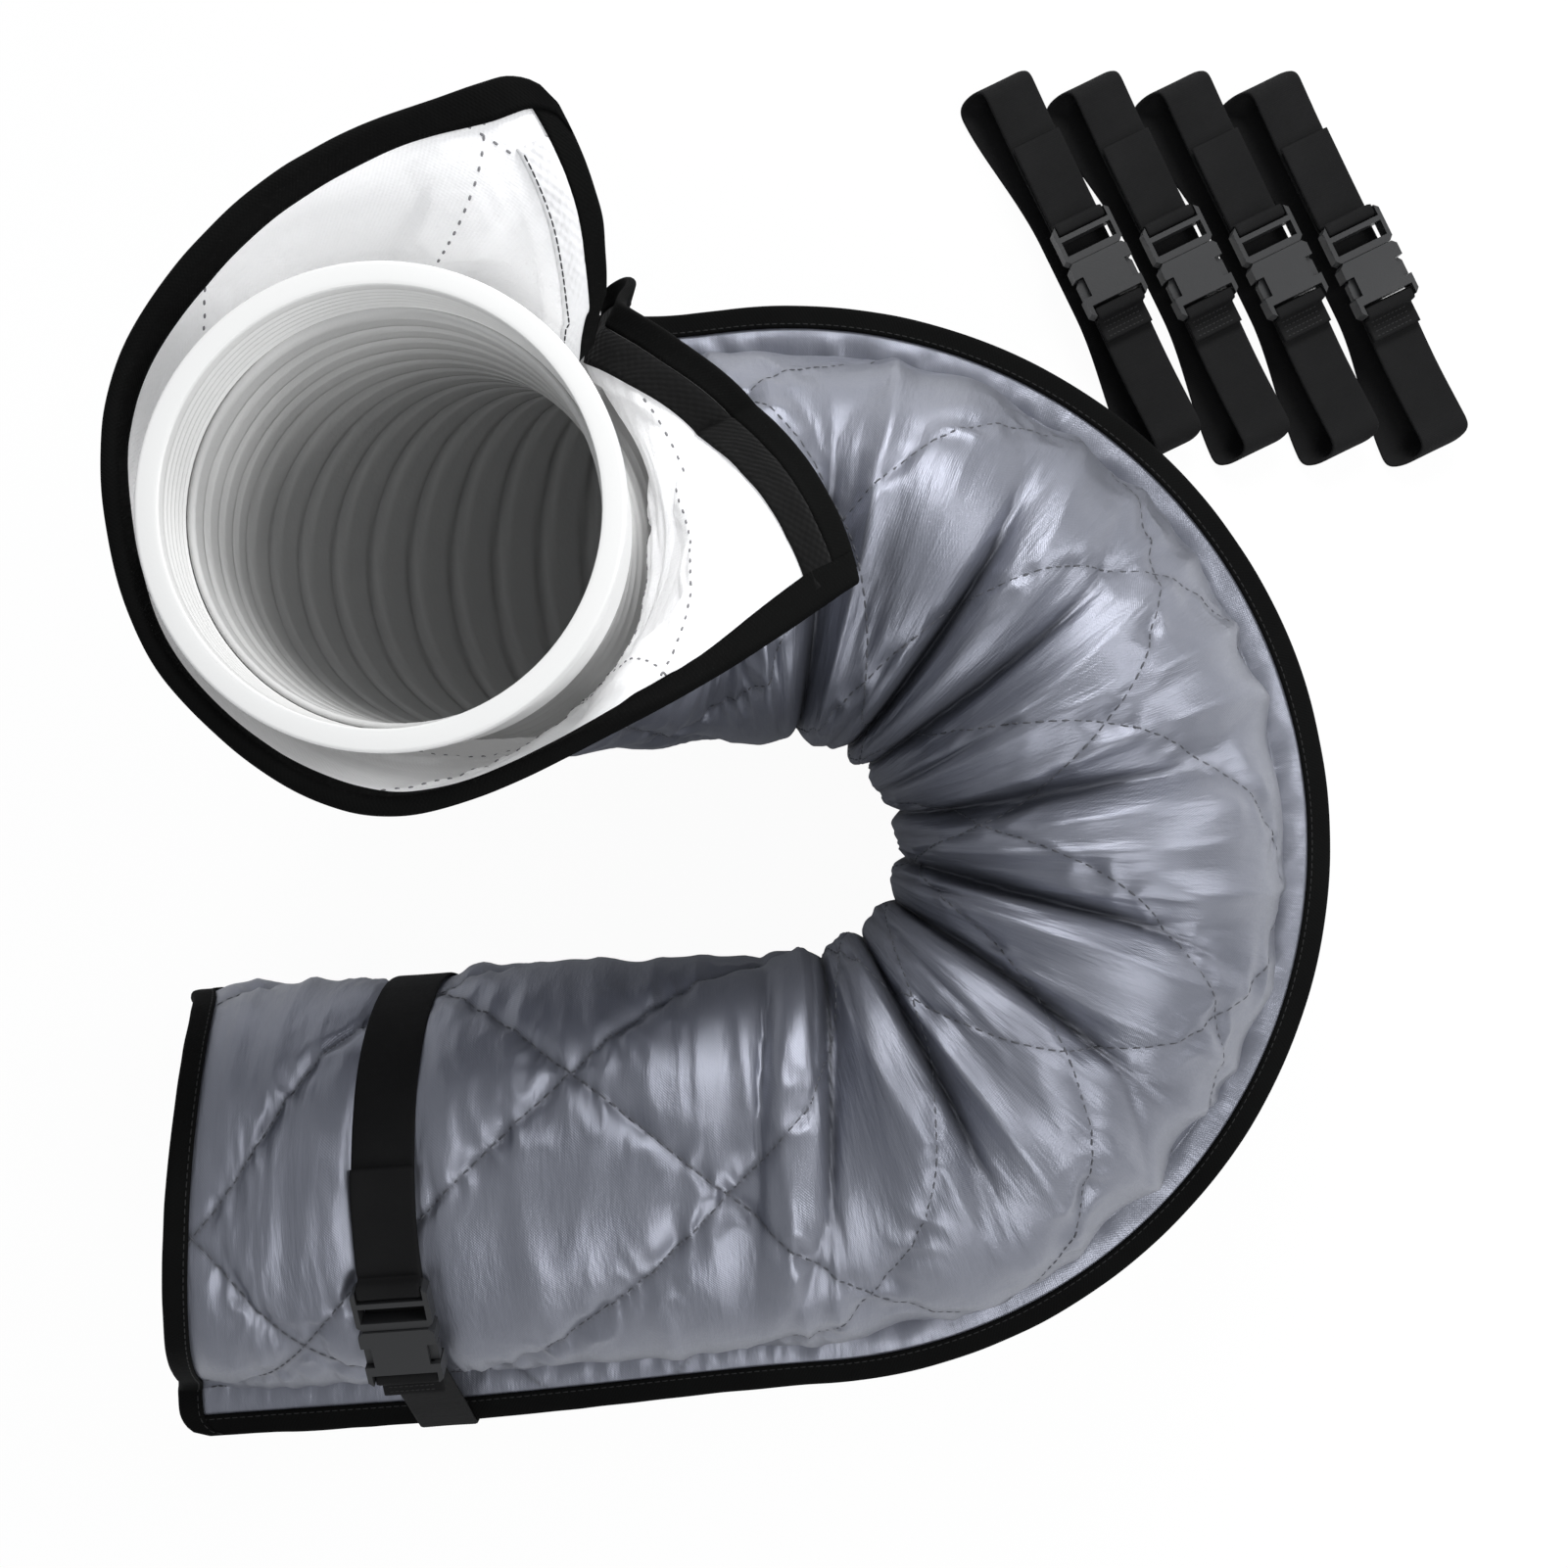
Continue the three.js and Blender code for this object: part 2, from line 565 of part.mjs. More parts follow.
// The middle surface as rings of points: a closed tube whose fin turns, opens and lies back.
function sleeveSurface() {
  const pulls = flarePulls();
  const [first, last] = [pulls[0].pull, pulls[pulls.length - 1].pull];
  return sleeveRings().map(({ distance, fold }) => {
    const place = station(distance);
    const share = clamp((distance - FLARE_START) / FLARE_LENGTH, 0, 1);
    const open = clamp((share - FLARE_LEAD) / (1 - FLARE_LEAD), 0, 1) ** 2;
    const lower = edgePull(LOWER_PATH, first, share);
    const upper = edgePull(UPPER_PATH, last, share);
    return sleeveSection(distance, fold).map(([outward, upward], k) => {
      const { angle, radius } = polar(outward, upward, false);
      const { pull, fromLower, fromUpper } = pulls[k];
      const [turn, out, along] = pull.map((value, axis) => {
        const reach = axis === 1 ? FLARE_FIN_REACH : FLARE_EDGE_REACH;
        const lowerShare = 1 - smoothstep(fromLower, 0, reach);
        const upperShare = 1 - smoothstep(fromUpper, 0, reach);
        return open * value + lowerShare * (lower[axis] - open * first[axis])
          + upperShare * (upper[axis] - open * last[axis]);
      });
      const turned = angle + sleeveTurn(distance) + turn;
      const reached = Math.max(radius + out, Math.min(radius, sleeveRadius(distance)));
      return inSection(place, reached * Math.cos(turned), reached * Math.sin(turned))
        .addScaledVector(place.tangent, along + tailDroop(distance, angle));
    });
  });
}

// Outward normals of the surface, lengthened at its creases so that layers keep their thickness.
function sleeveNormals(surface) {
  return surface.map((ring, u) => {
    const before = surface[Math.max(u - 1, 0)];
    const after = surface[Math.min(u + 1, surface.length - 1)];
    return ring.map((point, v) => {
      const along = after[v].clone().sub(before[v]);
      const sides = [[v - 1, v], [v, v + 1]].filter(([a, b]) => a >= 0 && b < ring.length);
      const facets = sides.map(([a, b]) =>
        ring[b].clone().sub(ring[a]).cross(along).normalize());
      const normal = facets.reduce((sum, facet) => sum.add(facet), new THREE.Vector3()).normalize();
      return normal.divideScalar(Math.max(normal.dot(facets[0]), 0.6));
    });
  });
}

const surface = sleeveSurface();
const normals = sleeveNormals(surface);
const RING_COUNT = surface.length;
const COLUMN_COUNT = surface[0].length;

function onSleeve(u, v, height) {
  return surface[u][v].clone().addScaledVector(normals[u][v], height);
}

// One layer of the sleeve between two heights above the middle surface.
function sleeveLayer(name, outerHeight, innerHeight, material) {
  const points = [];
  for (const height of [outerHeight, innerHeight]) {
    for (let u = 0; u < RING_COUNT; u += 1) {
      for (let v = 0; v < COLUMN_COUNT; v += 1) {
        points.push(onSleeve(u, v, height));
      }
    }
  }
  const inner = RING_COUNT * COLUMN_COUNT;
  const at = (u, v) => u * COLUMN_COUNT + v;
  const faces = [];
  for (let u = 0; u < RING_COUNT - 1; u += 1) {
    for (let v = 0; v < COLUMN_COUNT - 1; v += 1) {
      const [a, b, c, d] = [at(u, v), at(u, v + 1), at(u + 1, v + 1), at(u + 1, v)];
      faces.push([a, b, c], [a, c, d]);
      faces.push([inner + a, inner + c, inner + b], [inner + a, inner + d, inner + c]);
    }
    const [a, d] = [at(u, 0), at(u + 1, 0)];
    const [b, c] = [at(u, COLUMN_COUNT - 1), at(u + 1, COLUMN_COUNT - 1)];
    faces.push(...quad(a, d, inner + d, inner + a), ...quad(c, b, inner + b, inner + c));
  }
  for (let v = 0; v < COLUMN_COUNT - 1; v += 1) {
    const [a, b] = [at(0, v), at(0, v + 1)];
    const [d, c] = [at(RING_COUNT - 1, v), at(RING_COUNT - 1, v + 1)];
    faces.push(...quad(b, a, inner + a, inner + b), ...quad(d, c, inner + c, inner + d));
  }
  return named(name, closedMesh(points, faces), material);
}

function sleeveLayers() {
  const shellInside = SLEEVE_HALF - SHELL_THICKNESS;
  const liningOutside = LINING_THICKNESS - SLEEVE_HALF;
  return [
    sleeveLayer('sleeve_shell', SLEEVE_HALF, shellInside, silverNylon),
    sleeveLayer('sleeve_batting', shellInside - FIT, liningOutside + FIT, whiteWadding),
    sleeveLayer('sleeve_lining', liningOutside, -SLEEVE_HALF, whiteLining),
  ];
}

// ---- bindings and closing tapes -----------------------------------------------------------

// Section of the tape folded over an edge: x runs outwards past the edge, y off the surface.
function bindingSection() {
  const inside = SLEEVE_HALF + BINDING_FIT;
  const outside = inside + BINDING_THICKNESS;
  return [
    [-BINDING_WIDTH, inside],
    [-BINDING_WIDTH, outside],
    [BINDING_FIT + BINDING_THICKNESS, outside],
    [BINDING_FIT + BINDING_THICKNESS, -outside],
    [-BINDING_WIDTH, -outside],
    [-BINDING_WIDTH, -inside],
    [BINDING_FIT, -inside],
    [BINDING_FIT, inside],
  ].map(([x, y]) => new THREE.Vector2(x, y));
}

// Section of a closing tape, on the inner face of a panel, just inside the binding's strip.
function tapeSection() {
  const top = -SLEEVE_HALF - TAPE_FIT;
  return [
    [-TAPE_MARGIN, top],
    [-TAPE_MARGIN, top - TAPE_THICKNESS],
    [-TAPE_MARGIN - TAPE_WIDTH, top - TAPE_THICKNESS],
    [-TAPE_MARGIN - TAPE_WIDTH, top],
  ].map(([x, y]) => new THREE.Vector2(x, y));
}

// A section set on the surface at an edge point, with its x axis pointing away from the
// neighbouring point on the sheet. Inboard places are shares of the strip between the two.
function sectionOnEdge(section, stripWidth, edge, neighbour) {
  const [u, v] = edge;
  const [u2, v2] = neighbour;
  const reach = surface[u][v].distanceTo(surface[u2][v2]);
  return section.map(({ x, y }) =>
    onSleeve(u, v, y).lerp(onSleeve(u2, v2, y), -x / (x < 0 ? stripWidth : reach)));
}

// A piece along a long edge, between the end bindings' strips; step counts columns inboard.
function longEdgePiece(name, section, upper, step, material) {
  const v = upper ? COLUMN_COUNT - 1 - step : step;
  const neighbour = upper ? v - 1 : v + 1;
  const strip = step === 0 ? EDGE_STRIP : FIN_WIDTH - EDGE_STRIP;
  const rings = surface
    .map((_, u) => sectionOnEdge(section, strip, [u, v], [u, neighbour]))
    .slice(1, -1);
  return named(name, sweep(rings, section, upper), material);
}

function endBinding(name, u, neighbour) {
  const section = bindingSection();
  const rings = surface[u].map((_, v) =>
    sectionOnEdge(section, EDGE_STRIP, [u, v], [neighbour, v]));
  return named(name, sweep(rings, section, u > neighbour), blackTape);
}

function edgePieces() {
  return [
    endBinding('mouth_binding', RING_COUNT - 1, RING_COUNT - 2),
    endBinding('tail_binding', 0, 1),
    longEdgePiece('upper_edge_binding', bindingSection(), true, 0, blackTape),
    longEdgePiece('lower_edge_binding', bindingSection(), false, 0, blackTape),
    longEdgePiece('hook_tape', tapeSection(), true, 1, blackTape),
    longEdgePiece('loop_tape', tapeSection(), false, 1, whiteTape),
  ];
}

// ---- side-release buckle ------------------------------------------------------------------

// x runs from the plug to the housing, y across the webbing, z off the surface below.
const PLUG_BAR_END = -PLUG_GAP - PLUG_FRONT_LENGTH - PLUG_WINDOW_LENGTH;
const PLUG_SLOT_END = PLUG_BAR_END - BAR_WIDTH;
const PLUG_SLOT_START = PLUG_SLOT_END - SLOT_WIDTH;
const PLUG_START = PLUG_SLOT_START - BAR_WIDTH;
const PLUG_SLOT_MIDDLE = (PLUG_SLOT_START + PLUG_SLOT_END) / 2;
const HOUSING_SLOT_END = HOUSING_LENGTH - BAR_WIDTH;
const HOUSING_SLOT_MIDDLE = HOUSING_SLOT_END - SLOT_WIDTH / 2;
const OPENING_HALF = WEBBING_WIDTH / 2 + 0.5; // the slots are a little wider than the webbing

function chamferedOutline(x0, x1, halfWidth) {
  const c = BUCKLE_CORNER;
  return [
    [x0 + c, -halfWidth],
    [x1 - c, -halfWidth],
    [x1, c - halfWidth],
    [x1, halfWidth - c],
    [x1 - c, halfWidth],
    [x0 + c, halfWidth],
    [x0, halfWidth - c],
    [x0, c - halfWidth],
  ].map(([x, y]) => new THREE.Vector2(x, y));
}

function plate(outline, bottom, top) {
  const geometry = new THREE.ExtrudeGeometry(new THREE.Shape(outline), {
    depth: top - bottom,
    bevelEnabled: false,
  });
  return geometry.translate(0, 0, bottom);
}

function housingGeometry() {
  const half = BUCKLE_WIDTH / 2;
  const past = 1;
  const body = plate(chamferedOutline(0, HOUSING_LENGTH, half), 0, BUCKLE_THICKNESS);
  const cavityHalf = HOUSING_CAVITY_WIDTH / 2;
  const cavity = boxBetween(
    [-past, -cavityHalf, HOUSING_SKIN],
    [HOUSING_CAVITY_LENGTH, cavityHalf, BUCKLE_THICKNESS - HOUSING_SKIN],
  );
  const windows = [-1, 1].map((side) => {
    const inner = side * (half - WINDOW_DEPTH);
    const outer = side * (half + past);
    return boxBetween(
      [WINDOW_START, Math.min(inner, outer), -past],
      [WINDOW_START + WINDOW_LENGTH, Math.max(inner, outer), BUCKLE_THICKNESS + past],
    );
  });
  const slot = boxBetween(
    [HOUSING_SLOT_END - SLOT_WIDTH, -OPENING_HALF, -past],
    [HOUSING_SLOT_END, OPENING_HALF, BUCKLE_THICKNESS + past],
  );
  const overBar = boxBetween(
    [HOUSING_SLOT_END - past / 2, -OPENING_HALF, BAR_TOP],
    [HOUSING_LENGTH + past, OPENING_HALF, BUCKLE_THICKNESS + past],
  );
  const underBar = boxBetween(
    [HOUSING_SLOT_END - past / 2, -OPENING_HALF, -past],
    [HOUSING_LENGTH + past, OPENING_HALF, BAR_BOTTOM],
  );
  return cut(body, cavity, ...windows, slot, overBar, underBar);
}

function plugGeometry() {
  const past = 1;
  const bottom = PLUG_INSET;
  const top = BUCKLE_THICKNESS - PLUG_INSET;
  const body = plate(chamferedOutline(PLUG_START, -PLUG_GAP, BUCKLE_WIDTH / 2), bottom, top);
  const windowHole = boxBetween(
    [PLUG_BAR_END, -OPENING_HALF, -past],
    [PLUG_BAR_END + PLUG_WINDOW_LENGTH, OPENING_HALF, BUCKLE_THICKNESS],
  );
  const slot = boxBetween(
    [PLUG_SLOT_START, -OPENING_HALF, -past],
    [PLUG_SLOT_END, OPENING_HALF, BUCKLE_THICKNESS],
  );
  const overBar = boxBetween(
    [PLUG_START - past, -OPENING_HALF, BAR_TOP],
    [PLUG_SLOT_START + past / 2, OPENING_HALF, BUCKLE_THICKNESS],
  );
  const guide = boxBetween(
    [-PLUG_GAP - past, -GUIDE_WIDTH / 2, HOUSING_SKIN + LATCH_CLEARANCE],
    [GUIDE_LENGTH, GUIDE_WIDTH / 2, BUCKLE_THICKNESS - HOUSING_SKIN - LATCH_CLEARANCE],
  );
  return join(cut(body, windowHole, slot, overBar), guide);
}

// A sprung arm of the plug: it runs forward inside the housing, and its pad fills the window.
function latchGeometry(side) {
  const root = LATCH_ROOT_WIDTH / 2;
  const padStart = WINDOW_START + LATCH_PLAY;
  const padEnd = WINDOW_START + WINDOW_LENGTH - LATCH_PLAY;
  const padFace = BUCKLE_WIDTH / 2 - LATCH_PLAY;
  const shoulder = HOUSING_CAVITY_WIDTH / 2 + 1;
  const outline = [
    [0, LATCH_PIVOT_Y - root],
    [padEnd - 1, LATCH_PIVOT_Y - root - 1],
    [padEnd, LATCH_PIVOT_Y],
    [padEnd, padFace],
    [padStart + 2, padFace],
    [padStart, shoulder],
    [padStart, LATCH_PIVOT_Y + root + 0.4],
    [0, LATCH_PIVOT_Y + root],
  ].map(([x, y]) => new THREE.Vector2(x, side * y));
  const lift = HOUSING_SKIN + LATCH_CLEARANCE;
  return plate(side > 0 ? outline : outline.reverse(), lift, BUCKLE_THICKNESS - lift);
}

// ---- straps -------------------------------------------------------------------------------

const UNDER_PLUG = -FIT - WEBBING_THICKNESS / 2; // the webbing's middle, below the buckle
const TAIL_LEVEL = UNDER_PLUG + WEBBING_THICKNESS + FIT;

function flat(x, z) {
  return new THREE.Vector2(x, z);
}

// The sewn end: up through the housing's slot, over its bar and down to the webbing again.
function sewnEnd() {
  const over = BAR_TOP + FIT + WEBBING_THICKNESS / 2;
  const beyond = HOUSING_LENGTH + FIT + WEBBING_THICKNESS / 2;
  return [
    flat(beyond, TAIL_LEVEL - WEBBING_THICKNESS / 2 + FIT),
    flat(beyond, over),
    flat(HOUSING_SLOT_MIDDLE, over),
    flat(HOUSING_SLOT_MIDDLE, UNDER_PLUG),
    flat(beyond + WEBBING_THICKNESS, UNDER_PLUG),
  ];
}

// The free end: up through the plug's slot, over its end bar and back along the strap.
function freeEnd(follow) {
  const over = BAR_TOP + FIT + WEBBING_THICKNESS / 2;
  const behind = PLUG_START - FIT - WEBBING_THICKNESS / 2;
  return [
    flat(PLUG_SLOT_MIDDLE, TAIL_LEVEL - WEBBING_THICKNESS / 2),
    flat(PLUG_SLOT_MIDDLE, over),
    flat(behind, over),
    flat(behind, TAIL_LEVEL),
    ...follow,
  ];
}

// One whole strap in its buckle's frame. Each of the two lines leaves and comes back to the
// buckle along the webbing's own level.
function strap(name, loopLine, tailLine) {
  const group = new THREE.Group();
  const reach = PLUG_SLOT_MIDDLE + WEBBING_THICKNESS / 2;
  const line = [...sewnEnd(), ...loopLine, flat(reach, UNDER_PLUG)];
  group.add(
    named(`${name}_webbing`, webbing(line), blackWebbing),
    named(`${name}_free_end`, webbing(freeEnd(tailLine)), blackWebbing),
    named(`${name}_buckle_housing`, housingGeometry(), blackPlastic),
    named(`${name}_buckle_plug`, plugGeometry(), blackPlastic),
    named(`${name}_latch_left`, latchGeometry(1), blackPlastic),
    named(`${name}_latch_right`, latchGeometry(-1), blackPlastic),
  );
  return group;
}

// The corners that a tight band round some flat points touches, clockwise.
function tightRound(points) {
  const sorted = [...points].sort((a, b) => a.x - b.x || a.y - b.y);
  const walk = (list) => list.reduce((chain, point) => {
    while (chain.length > 1) {
      const [a, b] = chain.slice(-2);
      const turn = b.clone().sub(a).cross(point.clone().sub(b));
      if (turn < -1e-6) {
        break;
      }
      chain.pop();
    }
    chain.push(point);
    return chain;
  }, []);
  return [...walk(sorted).slice(0, -1), ...walk(sorted.reverse()).slice(0, -1)];
}

// Outer corners of the sleeve and its bindings where the fitted strap goes round.
function strapSupport() {
  const section = sleeveSection(STRAP_FROM_TAIL, 0).map(([n, b]) => flat(n, b));
  const round = offsetLine(section, SLEEVE_HALF).slice(3, -3);
  const edge = sleeveRadius(STRAP_FROM_TAIL) + FIN_WIDTH + BINDING_FIT + BINDING_THICKNESS;
  const fin = FIN_MIDDLE + SLEEVE_HALF + BINDING_FIT + BINDING_THICKNESS;
  return [...round, flat(edge, -fin), flat(edge, fin)];
}

function fittedStrap() {
  const corners = tightRound(strapSupport());
  const top = corners.findIndex((corner, k) => {
    const next = corners[(k + 1) % corners.length];
    return corner.x > 0 && next.x > corner.x && next.y < corner.y;
  });
  const ordered = [...corners.slice(top + 2), ...corners.slice(0, top + 2)];
  const before = ordered[ordered.length - 2];
  const along = ordered[ordered.length - 1].clone().sub(before).normalize();
  const off = new THREE.Vector2(-along.y, along.x);
  const origin = before.clone()
    .addScaledVector(along, STRAP_BUCKLE_SHIFT)
    .addScaledVector(off, WEBBING_THICKNESS + 2 * FIT);
  const local = ordered.map((corner) => {
    const from = corner.clone().sub(origin);
    return flat(from.dot(along), from.dot(off));
  });
  const closed = [local[local.length - 1], ...local];
  const lines = [FIT + WEBBING_THICKNESS / 2, 2 * FIT + 1.5 * WEBBING_THICKNESS]
    .map((height) => offsetLine(closed, height).slice(1, -1));
  const [loopLine, tailLine] = lines;
  const bendAt = tailLine[tailLine.length - 1];
  const onwards = tailLine[tailLine.length - 2].clone().sub(bendAt).normalize();
  const group = strap('fitted_strap', loopLine, [
    bendAt,
    bendAt.clone().addScaledVector(onwards, STRAP_TAIL_LENGTH - (PLUG_START - bendAt.x)),
  ]);
  const place = station(STRAP_FROM_TAIL);
  const inSpace = (direction) => place.outward.clone().multiplyScalar(direction.x)
    .addScaledVector(place.upward, direction.y);
  const xAxis = inSpace(along);
  const zAxis = inSpace(off);
  const yAxis = new THREE.Vector3().crossVectors(zAxis, xAxis);
  group.quaternion.setFromRotationMatrix(new THREE.Matrix4().makeBasis(xAxis, yAxis, zAxis));
  group.position.copy(inSection(place, origin.x, origin.y));
  return group;
}

// A loose strap lies flat, as two layers joined by rounded ends.
function looseStrap(name, x, y) {
  const radius = (LOOP_HEIGHT - WEBBING_THICKNESS) / 2;
  const reach = LOOP_LENGTH / 2 - radius;
  const arc = (centre, from) => Array.from({ length: LOOP_ARC_STEPS + 1 }, (_, k) => {
    const angle = from - (k / LOOP_ARC_STEPS) * Math.PI;
    return flat(centre + radius * Math.cos(angle), UNDER_PLUG - radius + radius * Math.sin(angle));
  });
  const line = [...arc(reach, Math.PI / 2), ...arc(-reach, -Math.PI / 2)];
  const group = strap(name, line, [flat(PLUG_START - STRAP_TAIL_LENGTH, TAIL_LEVEL)]);
  group.rotation.z = LOOSE_STRAP_ANGLE;
  group.position.set(x, y, LOOP_HEIGHT + FIT);
  return group;
}

function looseStraps() {
  return Array.from({ length: LOOSE_STRAP_COUNT }, (_, k) => looseStrap(
    `loose_strap_${k + 1}`,
    LOOSE_STRAP_FIRST.x + k * LOOSE_STRAP_PITCH,
    LOOSE_STRAP_FIRST.y,
  ));
}

// ---- assembly -----------------------------------------------------------------------------

const duct = new THREE.Group();
duct.add(
  coupling('mouth_coupling', ROUTE_LENGTH, 1),
  coupling('tail_coupling', 0, -1),
  hose(),
  ...sleeveLayers(),
  ...edgePieces(),
  fittedStrap(),
  ...looseStraps(),
);

const extent = new THREE.Box3().setFromObject(duct, true);
const middle = extent.getCenter(new THREE.Vector3());
duct.position.set(-middle.x, -middle.y, -extent.min.z);

export default duct;
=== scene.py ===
# Insulated flexible air duct, seen from above: a white ribbed hose with a screw-on coupling at each
# end, in a quilted silver sleeve whose seam is open round the raised mouth, with one elastic strap
# fitted and four lying beside it. Metres, +Z up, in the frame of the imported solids.
import json
import math

import bpy
import numpy as np
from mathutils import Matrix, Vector


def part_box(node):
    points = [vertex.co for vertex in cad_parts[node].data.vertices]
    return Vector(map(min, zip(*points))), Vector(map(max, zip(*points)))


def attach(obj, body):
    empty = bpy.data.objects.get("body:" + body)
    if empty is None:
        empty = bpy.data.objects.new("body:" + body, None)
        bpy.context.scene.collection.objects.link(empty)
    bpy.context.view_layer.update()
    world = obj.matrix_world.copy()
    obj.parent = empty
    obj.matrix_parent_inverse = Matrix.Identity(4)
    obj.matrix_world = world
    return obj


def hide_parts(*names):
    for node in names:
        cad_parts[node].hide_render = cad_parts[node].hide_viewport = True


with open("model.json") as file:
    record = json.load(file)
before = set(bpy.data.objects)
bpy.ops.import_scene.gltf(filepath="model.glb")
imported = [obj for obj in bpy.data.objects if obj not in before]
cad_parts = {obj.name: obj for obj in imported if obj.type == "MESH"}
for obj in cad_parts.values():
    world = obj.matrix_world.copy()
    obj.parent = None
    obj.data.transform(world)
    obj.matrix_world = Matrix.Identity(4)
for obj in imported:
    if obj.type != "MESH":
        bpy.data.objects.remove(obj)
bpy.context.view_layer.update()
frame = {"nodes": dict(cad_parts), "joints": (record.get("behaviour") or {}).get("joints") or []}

# ---- camera ------------------------------------------------------------------------------
# It looks straight down from half a metre above the mouth, so that the mouth looks larger
# than the tail. Its place is taken from the middle of the mouth's rim.
PHOTO_SIDE = 1601
FOCAL_PIXELS = 1575
SENSOR = 36
EYE_FROM_MOUTH = Vector((0.1311, -0.0900))
EYE_HEIGHT = 0.770

rim_low, rim_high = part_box("mouth_coupling")
mouth_middle = Vector(((rim_low.x + rim_high.x) / 2, (rim_low.y + rim_high.y) / 2, rim_high.z))
camera_data = bpy.data.cameras.new("overhead")
camera_data.sensor_width = SENSOR
camera_data.lens = SENSOR * FOCAL_PIXELS / PHOTO_SIDE
camera = bpy.data.objects.new("overhead", camera_data)
bpy.context.scene.collection.objects.link(camera)
camera.location = (mouth_middle.x + EYE_FROM_MOUTH.x, mouth_middle.y + EYE_FROM_MOUTH.y, EYE_HEIGHT)
bpy.context.scene.camera = camera

# ---- floor, lamps and background ---------------------------------------------------------
# A floor and a sky that the camera sees as plain white, though both light the duct dimly,
# with three soft lamps. The view transform is plain, so that colours come out about as written.
FLOOR_SIDE = 12
FLOOR_DROP = 0.0006
SKY_LEVEL = 0.485
WHITENESS = 0.96  # the share of the floor's look that no shadow darkens
GLOSS_SPREAD = 0.12  # how much the roughness of plastic and cloth changes from place to place


class Shade:
    """A node's output, on which plain arithmetic adds Math nodes, in one material or world."""

    def __init__(self, tree, socket=None):
        self.tree = tree
        self.socket = socket

    def node(self, kind, settings=None, inputs=None, output=0):
        made = self.tree.nodes.new(kind)
        for key, value in (settings or {}).items():
            if key == "stops":
                ramp = made.color_ramp.elements
                while len(ramp) < len(value):
                    ramp.new(1)
                for stop, (place, colour) in zip(ramp, value):
                    stop.position = place
                    stop.color = colour
            else:
                setattr(made, key, value)
        for key, value in (inputs or {}).items():
            if isinstance(value, Shade):
                self.tree.links.new(value.socket, made.inputs[key])
            else:
                made.inputs[key].default_value = value
        return Shade(self.tree, made.outputs[output] if made.outputs else None)

    def math(self, operation, *terms):
        return self.node("ShaderNodeMath", {"operation": operation}, dict(enumerate(terms)))

    def noise(self, place, scale, detail, roughness=0.5):
        return self.node("ShaderNodeTexNoise", inputs={
            "Vector": place, "Scale": scale, "Detail": detail, "Roughness": roughness})

    def bump(self, height, strength, distance, **others):
        return self.node("ShaderNodeBump", inputs={
            "Height": height, "Strength": strength, "Distance": distance, **others})

    def times(self, colour, tone):
        return self.node("ShaderNodeVectorMath", {"operation": "MULTIPLY"}, {0: colour, 1: tone})

    def __add__(self, other):
        return self.math("ADD", self, other)

    def __mul__(self, other):
        return self.math("MULTIPLY", self, other)

    def __rsub__(self, other):
        return self.math("SUBTRACT", other, self)


def blank(owner):
    """The emptied node tree of a material or world."""
    owner.use_nodes = True
    owner.node_tree.nodes.clear()
    return Shade(owner.node_tree)


def seen_directly(shade):
    """1 for rays from the camera, and for those that pass through something clear."""
    return (shade.node("ShaderNodeLightPath", output="Is Camera Ray")
            + shade.node("ShaderNodeLightPath", output="Is Transmission Ray"))


floor_mesh = bpy.data.meshes.new("floor")
half_floor = FLOOR_SIDE / 2
floor_corners = [(x * half_floor, y * half_floor, -FLOOR_DROP) for x, y in
                 ((-1, -1), (1, -1), (1, 1), (-1, 1))]
floor_mesh.from_pydata(floor_corners, [], [(0, 1, 2, 3)])
floor = bpy.data.objects.new("floor", floor_mesh)
bpy.context.scene.collection.objects.link(floor)
floor_white = bpy.data.materials.new("floor_white")
shade = blank(floor_white)
plain = shade.node("ShaderNodeBsdfDiffuse", inputs={"Color": (0.9, 0.9, 0.9, 1)})
glow = shade.node("ShaderNodeEmission", inputs={"Color": (1, 1, 1, 1), "Strength": 1.0})
by_eye = seen_directly(shade)
floor_mix = shade.node("ShaderNodeMixShader", inputs={0: by_eye * WHITENESS, 1: plain, 2: glow})
shade.node("ShaderNodeOutputMaterial", inputs={"Surface": floor_mix})
floor_mesh.materials.append(floor_white)

world = bpy.data.worlds.new("sky")
bpy.context.scene.world = world
shade = blank(world)
by_eye = seen_directly(shade)
sky = shade.node("ShaderNodeBackground", inputs={
    "Color": (0.95, 0.97, 1.0, 1), "Strength": by_eye * (1 - SKY_LEVEL) + SKY_LEVEL})
shade.node("ShaderNodeOutputWorld", inputs={"Surface": sky})


def lamp(name, place, target, size, power):
    """A soft square lamp, turned towards a point."""
    data = bpy.data.lights.new(name, "AREA")
    data.size = size
    data.energy = power
    made = bpy.data.objects.new(name, data)
    made.location = place
    made.rotation_euler = (Vector(target) - Vector(place)).to_track_quat("-Z", "Y").to_euler()
    bpy.context.scene.collection.objects.link(made)


lamp("window_lamp", (0.10, 1.15, 0.85), (0, 0, 0.05), 0.45, 13.0)
lamp("near_lamp", (0.50, -1.00, 0.95), (0.05, -0.05, 0.1), 0.55, 6.5)
lamp("far_lamp", (0.95, 0.25, 0.80), (-0.05, 0, 0.1), 0.40, 5.0)
bpy.context.scene.view_settings.view_transform = "Standard"

